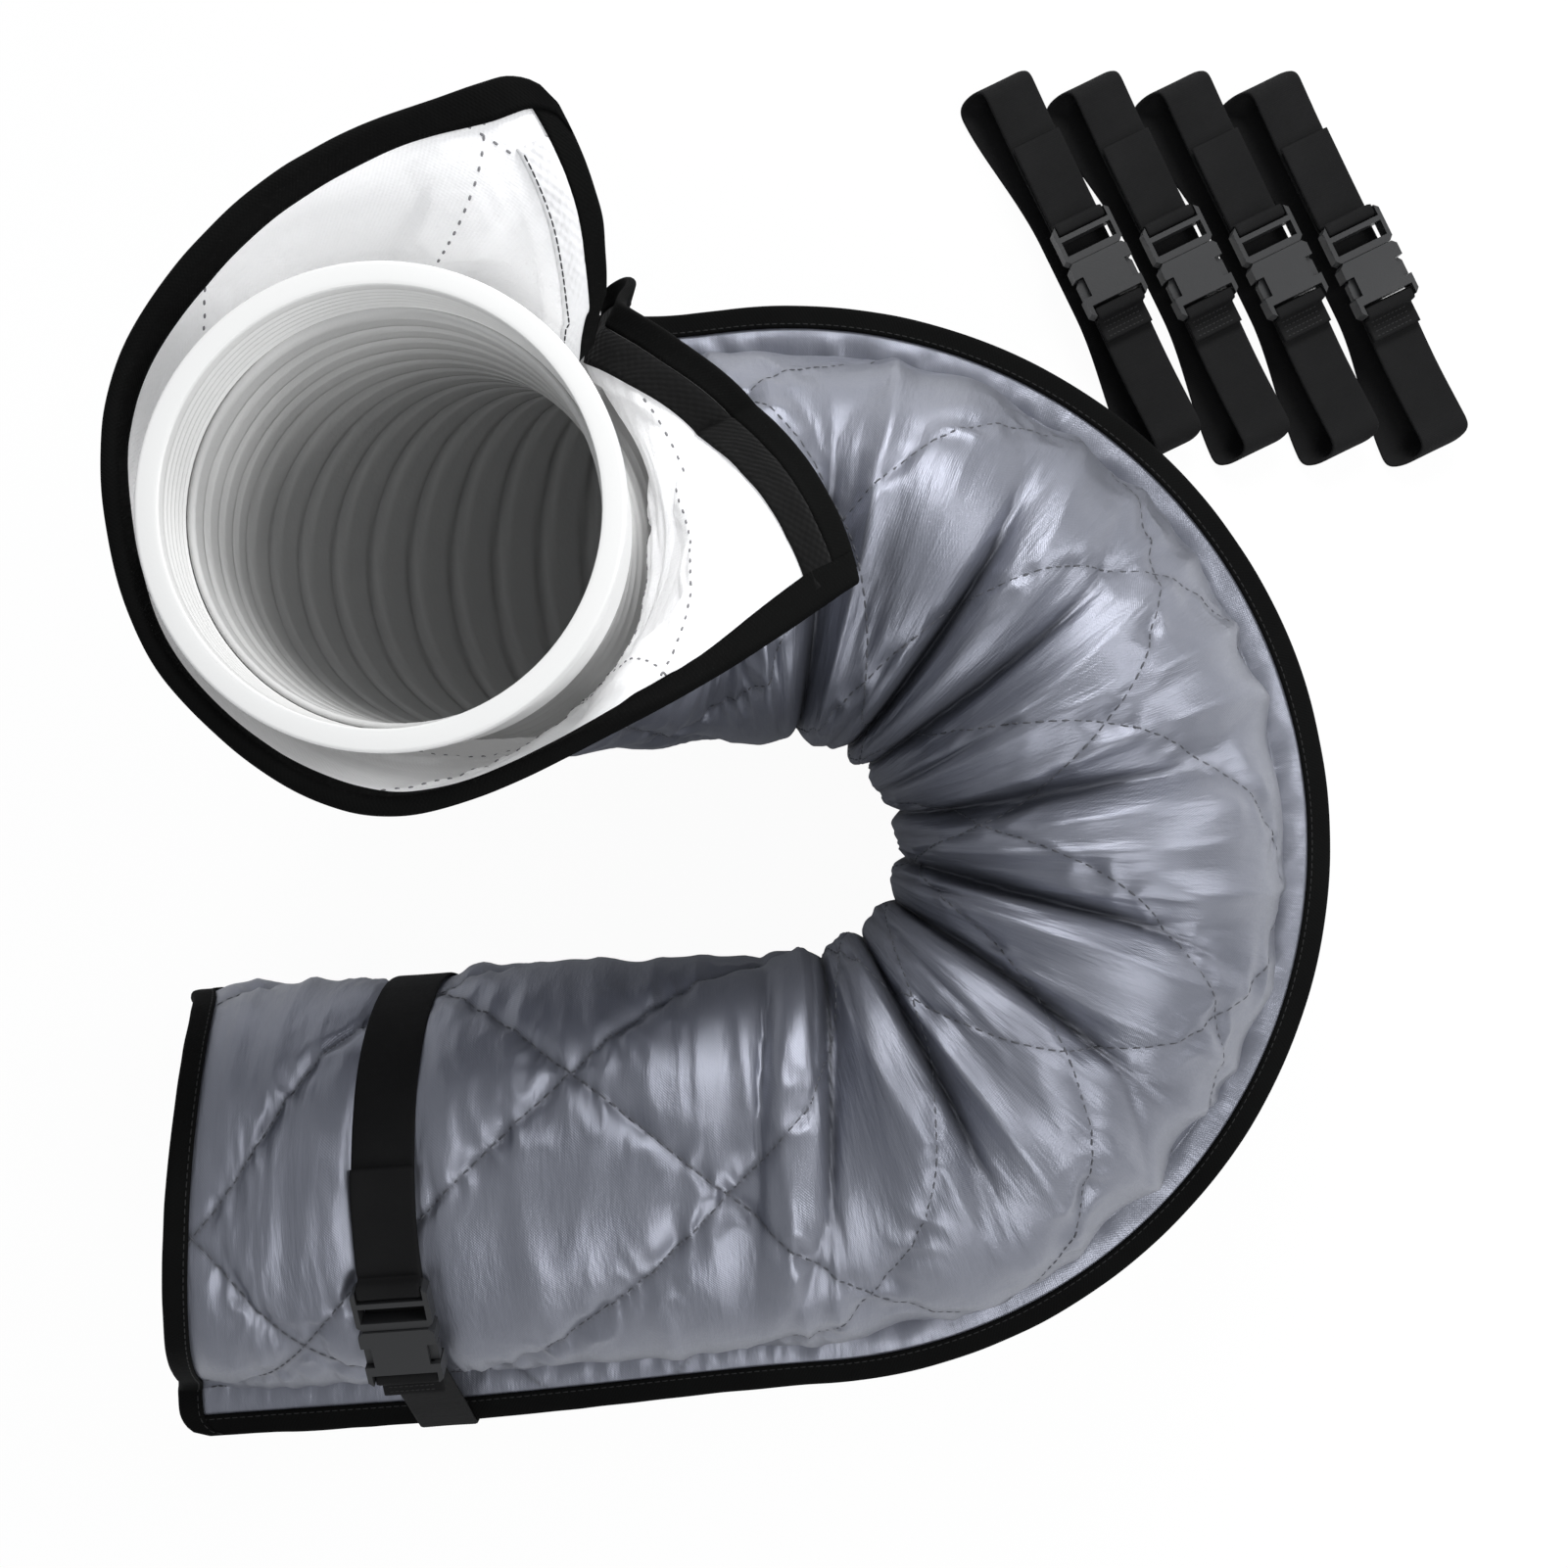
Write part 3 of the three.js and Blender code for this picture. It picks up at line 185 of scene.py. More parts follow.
# ---- hose --------------------------------------------------------------------------------
# White plastic film welded over a wound plastic rib, nominal 150 mm. It lies in a flat bend of
# a little over half a turn, then turns straight up to the mouth, and is screwed into a
# coupling at each end.
LEG_LENGTH = 0.240
LEG_HEADING = math.radians(4)
BEND_RADIUS = 0.1325
BEND_SWEEP = math.radians(183)
TOP_LEG_LENGTH = 0.0088
ELBOW_RADIUS = 0.110
RISER_LENGTH = 0.076
AXIS_HEIGHT = 0.084
COUPLING_SHOULDER = 0.0243  # the hose is screwed in up to here
RIB_PITCH = 0.0140
RIB_WIDTH = 0.11  # of the pitch
HOSE_VALLEY = 0.0718
HOSE_RIB_HEIGHT = 0.0016
HOSE_BORE = 0.0694
HOSE_GROOVE = 0.0031
RINGS_PER_RIB = 8
HOSE_SIDES = 72

BEND_END = LEG_LENGTH + BEND_SWEEP * BEND_RADIUS
ELBOW_START = BEND_END + TOP_LEG_LENGTH
ELBOW_END = ELBOW_START + ELBOW_RADIUS * math.pi / 2
ROUTE_LENGTH = ELBOW_END + RISER_LENGTH
bend_centre = np.zeros(3)


def station(distance):
    """Points of the hose axis, the way ahead, the side facing out of the bend, and its top."""
    distance = np.asarray(distance, float)
    heading = LEG_HEADING + np.clip((distance - LEG_LENGTH) / BEND_RADIUS, 0, BEND_SWEEP)
    rise = np.clip((distance - ELBOW_START) / ELBOW_RADIUS, 0, math.pi / 2)
    level = np.zeros_like(distance)
    forward = np.stack([np.cos(heading), np.sin(heading), level], -1)
    outward = np.stack([np.sin(heading), -np.cos(heading), level], -1)
    run = (np.minimum(distance - LEG_LENGTH, 0) + np.clip(distance - BEND_END, 0, TOP_LEG_LENGTH)
           + ELBOW_RADIUS * np.sin(rise))
    height = AXIS_HEIGHT + ELBOW_RADIUS * (1 - np.cos(rise)) + np.maximum(distance - ELBOW_END, 0)
    point = bend_centre + outward * BEND_RADIUS + forward * run[..., None]
    point[..., 2] += height
    up = np.array([0.0, 0.0, 1.0])
    tangent = forward * np.cos(rise)[..., None] + up * np.sin(rise)[..., None]
    return point, tangent, outward, np.cross(outward, tangent)


def station_at(distance):
    """The same for one distance."""
    return [value[0] for value in station([distance])]


def around(distance, outward, upward):
    """Points at places in the sections across the route: one row per distance."""
    point, _, side, top = station(distance)
    return point[:, None] + side[:, None] * outward[..., None] + top[:, None] * upward[..., None]


bend_centre[:2] = np.array(mouth_middle)[:2] - station_at(ROUTE_LENGTH)[0][:2]


def unit(vectors):
    """The same directions, each of length 1."""
    return vectors / np.maximum(np.linalg.norm(vectors, axis=-1, keepdims=True), 1e-9)


def every_pair(first, second):
    """A grid of (first, second) values, one row for each first."""
    return np.stack(np.broadcast_arrays(first[:, None], second[None]), -1)


def kept_above(lowest, faces):
    """Raise what lies lower than this in some grids of points."""
    for face in faces:
        face[..., 2] = np.maximum(face[..., 2], lowest)


def solid(name, points, faces, finish, spread=None):
    """A smooth mesh that faces outwards; spread holds each point's place on its flat cloth."""
    points = np.asarray(points, float)
    faces = np.asarray(faces)
    a, b, c, d = (points[faces[:, k]] for k in range(4))
    if np.einsum("ij,ij->", a, np.cross(b, c) + np.cross(c, d)) < 0:
        faces = faces[:, ::-1]
    mesh = bpy.data.meshes.new(name)
    mesh.from_pydata(points.tolist(), [], faces.tolist())
    mesh.polygons.foreach_set("use_smooth", [True] * len(mesh.polygons))
    if spread is not None:
        layer = mesh.uv_layers.new(name="cloth")
        layer.data.foreach_set("uv", np.asarray(spread)[faces.ravel()].astype(np.float32).ravel())
    mesh.materials.append(finish)
    made = bpy.data.objects.new(name, mesh)
    bpy.context.scene.collection.objects.link(made)
    return made


def grid_faces(index):
    """Four-sided faces between neighbouring rows and columns of a grid of point numbers."""
    corners = index[:-1, :-1], index[:-1, 1:], index[1:, 1:], index[1:, :-1]
    return np.stack(corners, -1).reshape(-1, 4)


def length_passed(line):
    """The length of a line up to each of its points."""
    return np.concatenate([[0], np.cumsum(np.linalg.norm(np.diff(line, axis=0), axis=1))])


def at_length(wanted, passed, line):
    """Points of a line where so much of its length has passed."""
    return np.stack([np.interp(wanted, passed, line[:, k]) for k in range(line.shape[1])], -1)


def stand_for(made, node, body="root"):
    """Hang a piece on its body, in the place of the node that it shows."""
    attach(made, body)
    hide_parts(node)


def wall(name, outer, inner, closed, finish, spread=None):
    """A closed wall between two grids of points; closed joins the last column to the first."""
    rows, columns = outer.shape[:2]
    count = rows * columns
    index = np.arange(count).reshape(rows, columns)
    if closed:
        index = np.hstack([index, index[:, :1]])
    quads = grid_faces(index)
    strips = [(index[0, 1:], index[0, :-1]), (index[-1, :-1], index[-1, 1:])]
    if not closed:
        strips += [(index[:-1, 0], index[1:, 0]), (index[1:, -1], index[:-1, -1])]
    faces = [quads, quads[:, ::-1] + count]
    faces += [np.stack([a, b, b + count, a + count], -1) for a, b in strips]
    points = np.concatenate([outer.reshape(-1, 3), inner.reshape(-1, 3)])
    if spread is not None:
        spread = np.tile(spread.reshape(-1, 2), (2, 1))
    return solid(name, points, np.concatenate(faces), finish, spread)


def plastic(name, colour, roughness, grain, grain_size, depth, mottle=0.04):
    """Moulded plastic: a fine grain in the mould, and a slight unevenness of colour and gloss."""
    material = bpy.data.materials.new(name)
    shade = blank(material)
    place = shade.node("ShaderNodeTexCoord", output="Object")
    fine = shade.noise(place, 1 / grain_size, 4)
    tone = shade.noise(place, 24, 3) * mottle + (1 - mottle / 2)
    skin = shade.node("ShaderNodeBsdfPrincipled", inputs={
        "Base Color": shade.times(colour, tone), "Roughness": fine * GLOSS_SPREAD
        + (roughness - GLOSS_SPREAD / 2), "Normal": shade.bump(fine, grain, depth)})
    shade.node("ShaderNodeOutputMaterial", inputs={"Surface": skin})
    return material


hose_white = plastic("hose_white", (0.56, 0.56, 0.555), 0.5, 0.25, 0.0016, 0.0004)
hose_rows = int((ROUTE_LENGTH - 2 * COUPLING_SHOULDER) / RIB_PITCH * RINGS_PER_RIB)
hose_distance = np.linspace(COUPLING_SHOULDER, ROUTE_LENGTH - COUPLING_SHOULDER, hose_rows)
hose_angle = np.linspace(0, 2 * math.pi, HOSE_SIDES, endpoint=False)
turns = hose_distance[:, None] / RIB_PITCH + hose_angle[None] / (2 * math.pi)
from_rib = np.abs(turns - np.round(turns))
rib = np.exp(-(from_rib / RIB_WIDTH) ** 2)
hose_outer = HOSE_VALLEY + HOSE_RIB_HEIGHT * rib
hose_inner = HOSE_BORE + HOSE_GROOVE * np.exp(-(from_rib / (RIB_WIDTH * 0.75)) ** 2)
hose = wall("ribbed_hose",
            around(hose_distance, hose_outer * np.cos(hose_angle), hose_outer * np.sin(hose_angle)),
            around(hose_distance, hose_inner * np.cos(hose_angle), hose_inner * np.sin(hose_angle)),
            True, hose_white)
stand_for(hose, "duct_hose")

# ---- couplings ---------------------------------------------------------------------------
# Moulded white plastic: a rim, a smooth collar with fine steps left by the mould, a shoulder that
# the hose is screwed up to, and a body over the hose. Turned in one piece round its axis.
RIM_RADIUS = 0.080
RIM_HEIGHT = 0.008
COLLAR_RADIUS = 0.072
COLLAR_STEP = 0.0004
COLLAR_STEPS = 6
COUPLING_LENGTH = 0.050
THREAD_RADIUS = 0.074
BODY_RADIUS = 0.077
GRIP_RIDGE = 0.0006
COUPLING_SIDES = 144
COUPLING_CREASE = math.radians(32)  # edges sharper than this look crisp

coupling_white = plastic("coupling_white", (0.83, 0.83, 0.82), 0.38, 0.12, 0.0011, 0.0003, 0.03)


def rounded(corners):
    """A closed profile with each corner rounded by its own radius, in four steps."""
    path = []
    for k, (x, y, radius) in enumerate(corners):
        here = Vector((x, y))
        ahead = (Vector(corners[(k + 1) % len(corners)][:2]) - here).normalized()
        behind = (Vector(corners[k - 1][:2]) - here).normalized()
        if radius == 0:
            path.append(here)
            continue
        start, end = here + behind * radius, here + ahead * radius
        for share in (0, 0.25, 0.5, 0.75, 1):
            path.append(start.lerp(here, share).lerp(here.lerp(end, share), share))
    return np.array(path)


def collar_steps():
    """The collar's bore: faint steps that its mould left, from the face inwards."""
    depth = np.linspace(-0.004, -COUPLING_SHOULDER + 0.001, COLLAR_STEPS * 4 + 1)
    wave = np.where(np.arange(len(depth)) % 4 < 2, 0, COLLAR_STEP)
    return [(COLLAR_RADIUS + rise, low, 0) for low, rise in zip(depth, wave)]


def coupling(name, distance, facing):
    """Turned from its profile of (radius, height from the face, corner radius)."""
    profile = rounded(collar_steps()[::-1] + [
        (COLLAR_RADIUS, -0.0002, 0.0011), (COLLAR_RADIUS + 0.0012, 0, 0.0008),
        (RIM_RADIUS, 0, 0.0014), (RIM_RADIUS, -RIM_HEIGHT, 0.0008),
        (BODY_RADIUS, -RIM_HEIGHT, 0.0006), (BODY_RADIUS, -0.022, 0),
        (BODY_RADIUS + GRIP_RIDGE, -0.024, 0), (BODY_RADIUS, -0.026, 0),
        (BODY_RADIUS, -COUPLING_LENGTH, 0.0008), (THREAD_RADIUS, -COUPLING_LENGTH, 0.0008),
        (THREAD_RADIUS, -COUPLING_SHOULDER, 0), (COLLAR_RADIUS, -COUPLING_SHOULDER, 0.0004)])
    point, tangent, outward, upward = station_at(distance)
    angle = np.linspace(0, 2 * math.pi, COUPLING_SIDES, endpoint=False)
    spokes = np.cos(angle)[:, None] * outward + np.sin(angle)[:, None] * upward
    rings = point + profile[:, None, :1] * spokes + facing * profile[:, None, 1:] * tangent
    index = np.arange(len(profile) * COUPLING_SIDES).reshape(-1, COUPLING_SIDES)
    index = np.pad(index, ((0, 1), (0, 1)), "wrap")
    made = solid(name + "_moulded", rings.reshape(-1, 3), grid_faces(index), coupling_white)
    made.data.set_sharp_from_angle(angle=COUPLING_CREASE)
    stand_for(made, name)


coupling("mouth_coupling", ROUTE_LENGTH, 1)
coupling("tail_coupling", 0, -1)

# ---- sleeve ------------------------------------------------------------------------------
# Silver coated nylon, wadding and a white lining, quilted together in large diamonds. The flat
# sheet is wrapped round the hose with its two long edges closed in a fin on the outside of
# the bend. Round the bend the slack gathers in folds on the inside; round the mouth the
# fin is open and the sheet stands up and lies back.
CLOTH_RADIUS_ENDS = 0.0845  # middle of the three layers, round a coupling
CLOTH_RADIUS_BEND = 0.0795
UNDERSIDE = 0.084
LAYERS_HALF = 0.0018
TAIL_OVERHANG = 0.047  # the fin's end, beyond the coupling
TAIL_DROOP_TOP = 0.025
TAIL_DROOP_INSIDE = 0.018
TAIL_DROOP_REACH = 0.110
MOUTH_SETBACK = 0.010
FLARE_LENGTH = 0.200  # here the fin turns round the duct, and comes open
FLARE_LEAD = 0.35
FLARE_TURN = math.radians(45)
FLARE_TURN_LEAD = 0.020
FLARE_TURN_LENGTH = 0.165
FLARE_EDGE_REACH = 0.120
FLARE_FIN_REACH = 0.055
STRAP_PLACE = 0.072
STRAP_ZONE = 0.013
STRAP_CINCH = 0.0022
HEM_SINK = 0.0013
EDGE_STRIP = 0.0096
FIN_WIDTH = 0.025
FIN_MIDDLE = 0.00365
QUILT_ALONG = 0.121
QUILT_AROUND = 0.111
QUILT_PHASE = (0.145, 0.206)  # a crossing: along the leg, and round from the upper free edge
SEAM_FROM_EDGE = 0.0225
SHEET_GROWTH = 0.237  # radius of the sheet's course where its seam goes round the bend

SLEEVE_START = -TAIL_OVERHANG
SLEEVE_END = ROUTE_LENGTH - MOUTH_SETBACK
FLARE_START = SLEEVE_END - FLARE_LENGTH
SLEEVE_ROWS = 620
ROUND_COLUMNS = 300
FIN_COLUMNS = 12

random = np.random.default_rng(7)


def eased(value, low, high):
    """0 up to low and 1 from high on, with a smooth step between."""
    share = np.clip((np.asarray(value, float) - low) / (high - low), 0, 1)
    return share * share * (3 - 2 * share)


def held(value, rise_from, rise_to, fall_from, fall_to):
    """0, then up to 1, and down to 0 again."""
    return eased(value, rise_from, rise_to) * (1 - eased(value, fall_from, fall_to))


def drift(shape, cells, seed):
    """Smooth noise between -1 and 1 on a grid of this shape, with about so many cells each way."""
    rows, columns = cells
    knots = np.random.default_rng(seed).uniform(-1, 1, (rows + 4, columns + 4))
    for axis, count, size in ((0, rows, shape[0]), (1, columns, shape[1])):
        place = np.linspace(0, count, size)
        low = np.floor(place).astype(int)
        t = place - low
        weights = [(1 - t) ** 3 / 6, (3 * t ** 3 - 6 * t ** 2 + 4) / 6,
                   (-3 * t ** 3 + 3 * t ** 2 + 3 * t + 1) / 6, t ** 3 / 6]
        taken = [np.take(knots, low + k, axis) for k in range(4)]
        form = (-1, 1) if axis == 0 else (1, -1)
        knots = sum(w.reshape(form) * part for w, part in zip(weights, taken))
    return knots * 1.6


def cloth_radius(distance):
    """From the axis to the middle of the three layers."""
    to_bend = eased(distance, STRAP_PLACE, LEG_LENGTH) - eased(distance, ELBOW_START, SLEEVE_END)
    return CLOTH_RADIUS_ENDS + (CLOTH_RADIUS_BEND - CLOTH_RADIUS_ENDS) * to_bend


# Columns run from the lower panel's free edge, round the tube, to the upper panel's. Angles
# start at the fin and fall, so that the underside is at -90 degrees and the inside of the
# bend at -180.
ROOT_ANGLE = math.radians(24)
SLOPE_ANGLE = math.radians(30)
TAIL_ROOT_ANGLE = math.radians(60)  # the open tail's upper panel hangs slack to its fin
SLACK_END = 0.025
ROOT_REACH = 0.004


def section(distance):
    """Outward and upward places round one closed section, and the length passed at each."""
    radius = float(cloth_radius(distance))
    from_strap, from_end = abs(distance - STRAP_PLACE), distance - SLEEVE_START
    sink = STRAP_CINCH * float(1 - eased(from_strap, STRAP_ZONE * 0.9, STRAP_ZONE * 1.9))
    sink += HEM_SINK * float(1 - eased(from_end, EDGE_STRIP * 0.8, EDGE_STRIP * 1.8))
    flat = UNDERSIDE - LAYERS_HALF - sink
    slack = float(1 - eased(distance, SLEEVE_START, SLACK_END))
    upper_root = SLOPE_ANGLE + (TAIL_ROOT_ANGLE - SLOPE_ANGLE) * slack
    angle = np.linspace(ROOT_ANGLE, 2 * math.pi - upper_root, 240)
    tall = np.where(np.sin(angle) > 0, UNDERSIDE - sink, radius - sink)
    across = (radius - sink) * np.cos(angle)
    up = np.maximum(-tall * np.sin(angle), -flat)
    t = np.linspace(0, 1, 25)[:, None]

    def root(side):
        """The curve from one panel of the fin to the tube."""
        start = Vector((across[0], up[0])) if side < 0 else Vector((across[-1], up[-1]))
        end = Vector((radius + (ROOT_REACH if side < 0 else 0.003), side * FIN_MIDDLE))
        bend = ROOT_ANGLE if side < 0 else upper_root
        reach = 0 if side < 0 else slack
        lean = Vector((math.sin(bend), -side * math.cos(bend))) * (0.014 + 0.018 * reach)
        level = Vector((0.007, 0))
        if side > 0:
            level = Vector((0.004 + 0.010 * reach, -0.010 - 0.004 * reach))
        p0, p1, p2, p3 = (np.array(p) for p in (end, end - level, start + lean, start))
        return ((1 - t) ** 3 * p0 + 3 * (1 - t) ** 2 * t * p1 + 3 * (1 - t) * t ** 2 * p2
                + t ** 3 * p3)

    edge = radius + FIN_WIDTH
    lower = np.concatenate([[[edge, -FIN_MIDDLE]], root(-1)])
    upper = np.concatenate([root(1)[::-1], [[edge, FIN_MIDDLE]]])
    line = np.concatenate([lower, np.stack([across, up], 1)[1:-1], upper])
    return line, length_passed(line)


# The mouth's free edge, from the standing corner round the back of the mouth to the lying
# corner: places from the mouth's middle, and heights from its face, in rim radii.
MOUTH_EDGE = np.array([
    (0.6, 1.875, -0.25), (-0.1, 1.57, -0.125), (-0.62, 1.22, -0.1), (-1.07, 0.61, -0.1),
    (-1.12, 0, -0.0875), (-0.88, -0.68, -0.1), (-0.0875, -1.22, -0.15), (1, -0.825, -0.425),
    (1.975, -0.175, -0.9)]) * RIM_RADIUS

# Paths of the two long edges through the flare, from the closed fin on: share of its length,
# turn in degrees, then places out and along in rim radii. The mouth's edge ends both.
LOWER_PATH = [(0, 0, 0, 0), (0.065, -1, 0.015, -0.015), (0.13, 0, 0.05, -0.05),
              (0.26, 4.5, 0.165, -0.13), (0.41, 6, 0.04, 0.02), (0.53, 9.5, -0.15, 0.175),
              (0.665, 3, -0.02, 0.35), (0.825, -5.5, 0.256, 0.19)]
UPPER_PATH = [(0, 0, 0, 0), (0.065, 3.5, 0.015, -0.015), (0.13, 6.5, 0.05, -0.05),
              (0.26, 12, 0.165, -0.13), (0.41, 10.5, 0.075, 0), (0.53, 15.5, 0.12, -0.03),
              (0.665, 26, 0.275, -0.17), (0.825, 39.5, 0.43, -0.39)]


def cubic(t, start, end, lean_start, lean_end):
    """Places on a cubic from start to end that leaves and arrives with these leans."""
    return ((2 * t ** 3 - 3 * t ** 2 + 1) * start + (t ** 3 - 2 * t ** 2 + t) * lean_start
            + (3 * t ** 2 - 2 * t ** 3) * end + (t ** 3 - t ** 2) * lean_end)


def through(knots, wanted):
    """Places on a centripetal Catmull-Rom curve through the knots, at shares of its length."""
    ends = np.concatenate([[2 * knots[0] - knots[1]], knots, [2 * knots[-1] - knots[-2]]])
    gaps = np.linalg.norm(np.diff(ends, axis=0), axis=1) ** 0.5
    t = np.linspace(0, 1, 80, endpoint=False)[:, None]
    fine = []
    for k in range(1, len(ends) - 2):
        p0, p1, p2, p3 = ends[k - 1:k + 3]
        g0, g1, g2 = gaps[k - 1:k + 2]
        lean1 = ((p1 - p0) / g0 - (p2 - p0) / (g0 + g1) + (p2 - p1) / g1) * g1
        lean2 = ((p2 - p1) / g1 - (p3 - p1) / (g1 + g2) + (p3 - p2) / g2) * g1
        fine.append(cubic(t, p1, p2, lean1, lean2))
    fine = np.concatenate(fine + [ends[-2:-1]])
    passed = length_passed(fine)
    return at_length(wanted * passed[-1], passed, fine)


def smooth_through(x, knots):
    """Monotone cubic through rows of (place, value, value...), at places x."""
    knots = np.asarray(knots, float)
    at, value = knots[:, 0], knots[:, 1:]
    step = np.diff(at)[:, None]
    slope = np.diff(value, axis=0) / step
    same = slope[:-1] * slope[1:] > 0
    mean = 2 * slope[:-1] * slope[1:] / np.where(same, slope[:-1] + slope[1:], 1)
    lean = np.concatenate([value[:1] * 0, np.where(same, mean, 0), slope[-1:]])
    k = np.clip(np.searchsorted(at, x) - 1, 0, len(at) - 2)
    t = np.clip((x - at[k]) / step[k, 0], 0, 1)[:, None]
    return cubic(t, value[k], value[k + 1], step[k] * lean[k], step[k] * lean[k + 1])


# Even steps along the sheet: finer where the fin's bindings and tapes lie.
closed_line, closed_passed = section(SLEEVE_END)
girth = closed_passed[-1]
fin_shares = np.linspace(0, FIN_WIDTH, FIN_COLUMNS, endpoint=False) / girth
round_shares = np.linspace(FIN_WIDTH / girth, 1 - FIN_WIDTH / girth, ROUND_COLUMNS)
shares = np.concatenate([fin_shares, round_shares, 1 - fin_shares[::-1]])
columns = len(shares)
sleeve_distance = np.linspace(SLEEVE_START, SLEEVE_END, SLEEVE_ROWS)


def unwound(outward, upward):
    """The angle round the axis, falling steadily along the columns."""
    angle = np.arctan2(upward, outward)
    late = np.arange(len(angle)) >= (len(angle) - 1) / 2
    return np.where(late & (angle > 0), angle - 2 * math.pi, angle)


def flare_pulls():
    """How far each column turns, moves out and moves along between closed and open."""
    point, tangent, outward, upward = station_at(SLEEVE_END)
    rim_middle = station_at(ROUTE_LENGTH)[0]
    edge = through(MOUTH_EDGE, shares) + rim_middle - point
    goal = edge @ outward, edge @ upward
    line = at_length(shares * girth, closed_passed, closed_line)
    return np.stack([unwound(*goal) - unwound(line[:, 0], line[:, 1]) - FLARE_TURN,
                     np.hypot(*goal) - np.hypot(line[:, 0], line[:, 1]), edge @ tangent])


def edge_path(path, corner):
    """Turn, and places out and along, of one long edge at each row of the sleeve."""
    rows = [(at, math.radians(turn), out * RIM_RADIUS, along * RIM_RADIUS)
            for at, turn, out, along in path]
    share = np.clip((sleeve_distance - FLARE_START) / FLARE_LENGTH, 0, 1)
    return smooth_through(share, rows + [(1, *corner)]).T[..., None]


def middle_surface():
    """The middle of the three layers, before puffs, folds and wrinkles."""
    pulls = flare_pulls()
    share = np.clip((sleeve_distance - FLARE_START) / FLARE_LENGTH, 0, 1)
    opened = (np.clip((share - FLARE_LEAD) / (1 - FLARE_LEAD), 0, 1) ** 2)[:, None]
    lower, upper = edge_path(LOWER_PATH, pulls[:, 0]), edge_path(UPPER_PATH, pulls[:, -1])
    moved = []
    for axis, reach in enumerate((FLARE_EDGE_REACH, FLARE_FIN_REACH, FLARE_EDGE_REACH)):
        near_lower = 1 - eased(shares * girth, 0, reach)
        near_upper = 1 - eased((1 - shares) * girth, 0, reach)
        moved.append(opened * pulls[axis] + near_lower * (lower[axis] - opened * pulls[axis, 0])
                     + near_upper * (upper[axis] - opened * pulls[axis, -1]))
    places = np.empty((SLEEVE_ROWS, columns, 2))
    for row, distance in enumerate(sleeve_distance):
        line, passed = section(distance)
        places[row] = at_length(shares * passed[-1], passed, line)
    turn_start = FLARE_START - FLARE_TURN_LEAD
    turned = FLARE_TURN * eased(sleeve_distance, turn_start, turn_start + FLARE_TURN_LENGTH)
    angle = np.arctan2(places[..., 1], places[..., 0]) + turned[:, None] + moved[0]
    reach = np.hypot(places[..., 0], places[..., 1])
    reach = np.maximum(reach + moved[1], np.minimum(reach, cloth_radius(sleeve_distance)[:, None]))
    # The tail end is open and slack, so that its top and its inner side sag back.
    around_axis = np.arctan2(places[..., 1], places[..., 0])
    droop = (TAIL_DROOP_TOP * np.maximum(np.sin(around_axis), 0) ** 0.75
             + TAIL_DROOP_INSIDE * (1 - np.cos(around_axis)) / 2)
    droop *= (1 - eased(sleeve_distance, SLEEVE_START, SLEEVE_START + TAIL_DROOP_REACH))[:, None]
    _, tangent, _, _ = station(sleeve_distance)
    cloth = around(sleeve_distance, reach * np.cos(angle), reach * np.sin(angle))
    return cloth + tangent[:, None] * (moved[2] + droop)[..., None]


def surface_normals(cloth):
    """Away from the hose, at each point."""
    return unit(np.cross(np.gradient(cloth, axis=1), np.gradient(cloth, axis=0)))


TAIL_CORNER = 0.012
APEX_CORNER = 0.013


def corners_rounded(cloth):
    """The sheet with the corners of its outline cut round, at the tail and at the apex."""
    for last, radius, side in ((False, TAIL_CORNER, 0), (False, TAIL_CORNER, 1),
                               (True, APEX_CORNER, 0)):
        for column in np.nonzero(shares * girth < radius)[0]:
            pulled = radius - math.sqrt(radius ** 2 - (radius - shares[column] * girth) ** 2)
            at = columns - 1 - column if side else column
            line = cloth[::-1, at] if last else cloth[:, at]
            passed = length_passed(line)
            moved = at_length(passed + pulled * (1 - eased(passed, 0, 5 * radius)), passed, line)
            cloth[:, at] = moved[::-1] if last else moved
    return cloth


cloth_middle = corners_rounded(middle_surface())
cloth_normal = surface_normals(cloth_middle)

# Where each point lies on the flat sheet: along it, and round it from the upper free edge.
bend_passed = np.clip((sleeve_distance - LEG_LENGTH) / BEND_RADIUS, 0, BEND_SWEEP)
sheet_along = (sleeve_distance + bend_passed * (SHEET_GROWTH - BEND_RADIUS))[:, None]
sheet_round = ((1 - shares) * girth)[None]
sheet_along, sheet_round = np.broadcast_arrays(sheet_along, sheet_round)


# Folds round the bend: each starts on top and runs to the inside as a sharp valley between
# swollen, slightly leaning pillows. Shorter ones lie between, and most fork at their outer end.
FOLDS = 8
FOLD_STEP = BEND_SWEEP / FOLDS
FOLD_RISE = 0.0120
FOLD_DEPTH = 0.0095
FOLD_WIDTH = 0.0032
QUILT_DEPTH = 0.0038
QUILT_PUFF = 0.0022
QUILT_GROOVE = 0.0052


def valley(distance, width, sharpness=0.25):
    """1 in the middle of a crease and 0 far away, pointed when sharpness is near 0."""
    edge = width * sharpness
    return np.exp(-(np.sqrt(distance ** 2 + edge ** 2) - edge) / width)


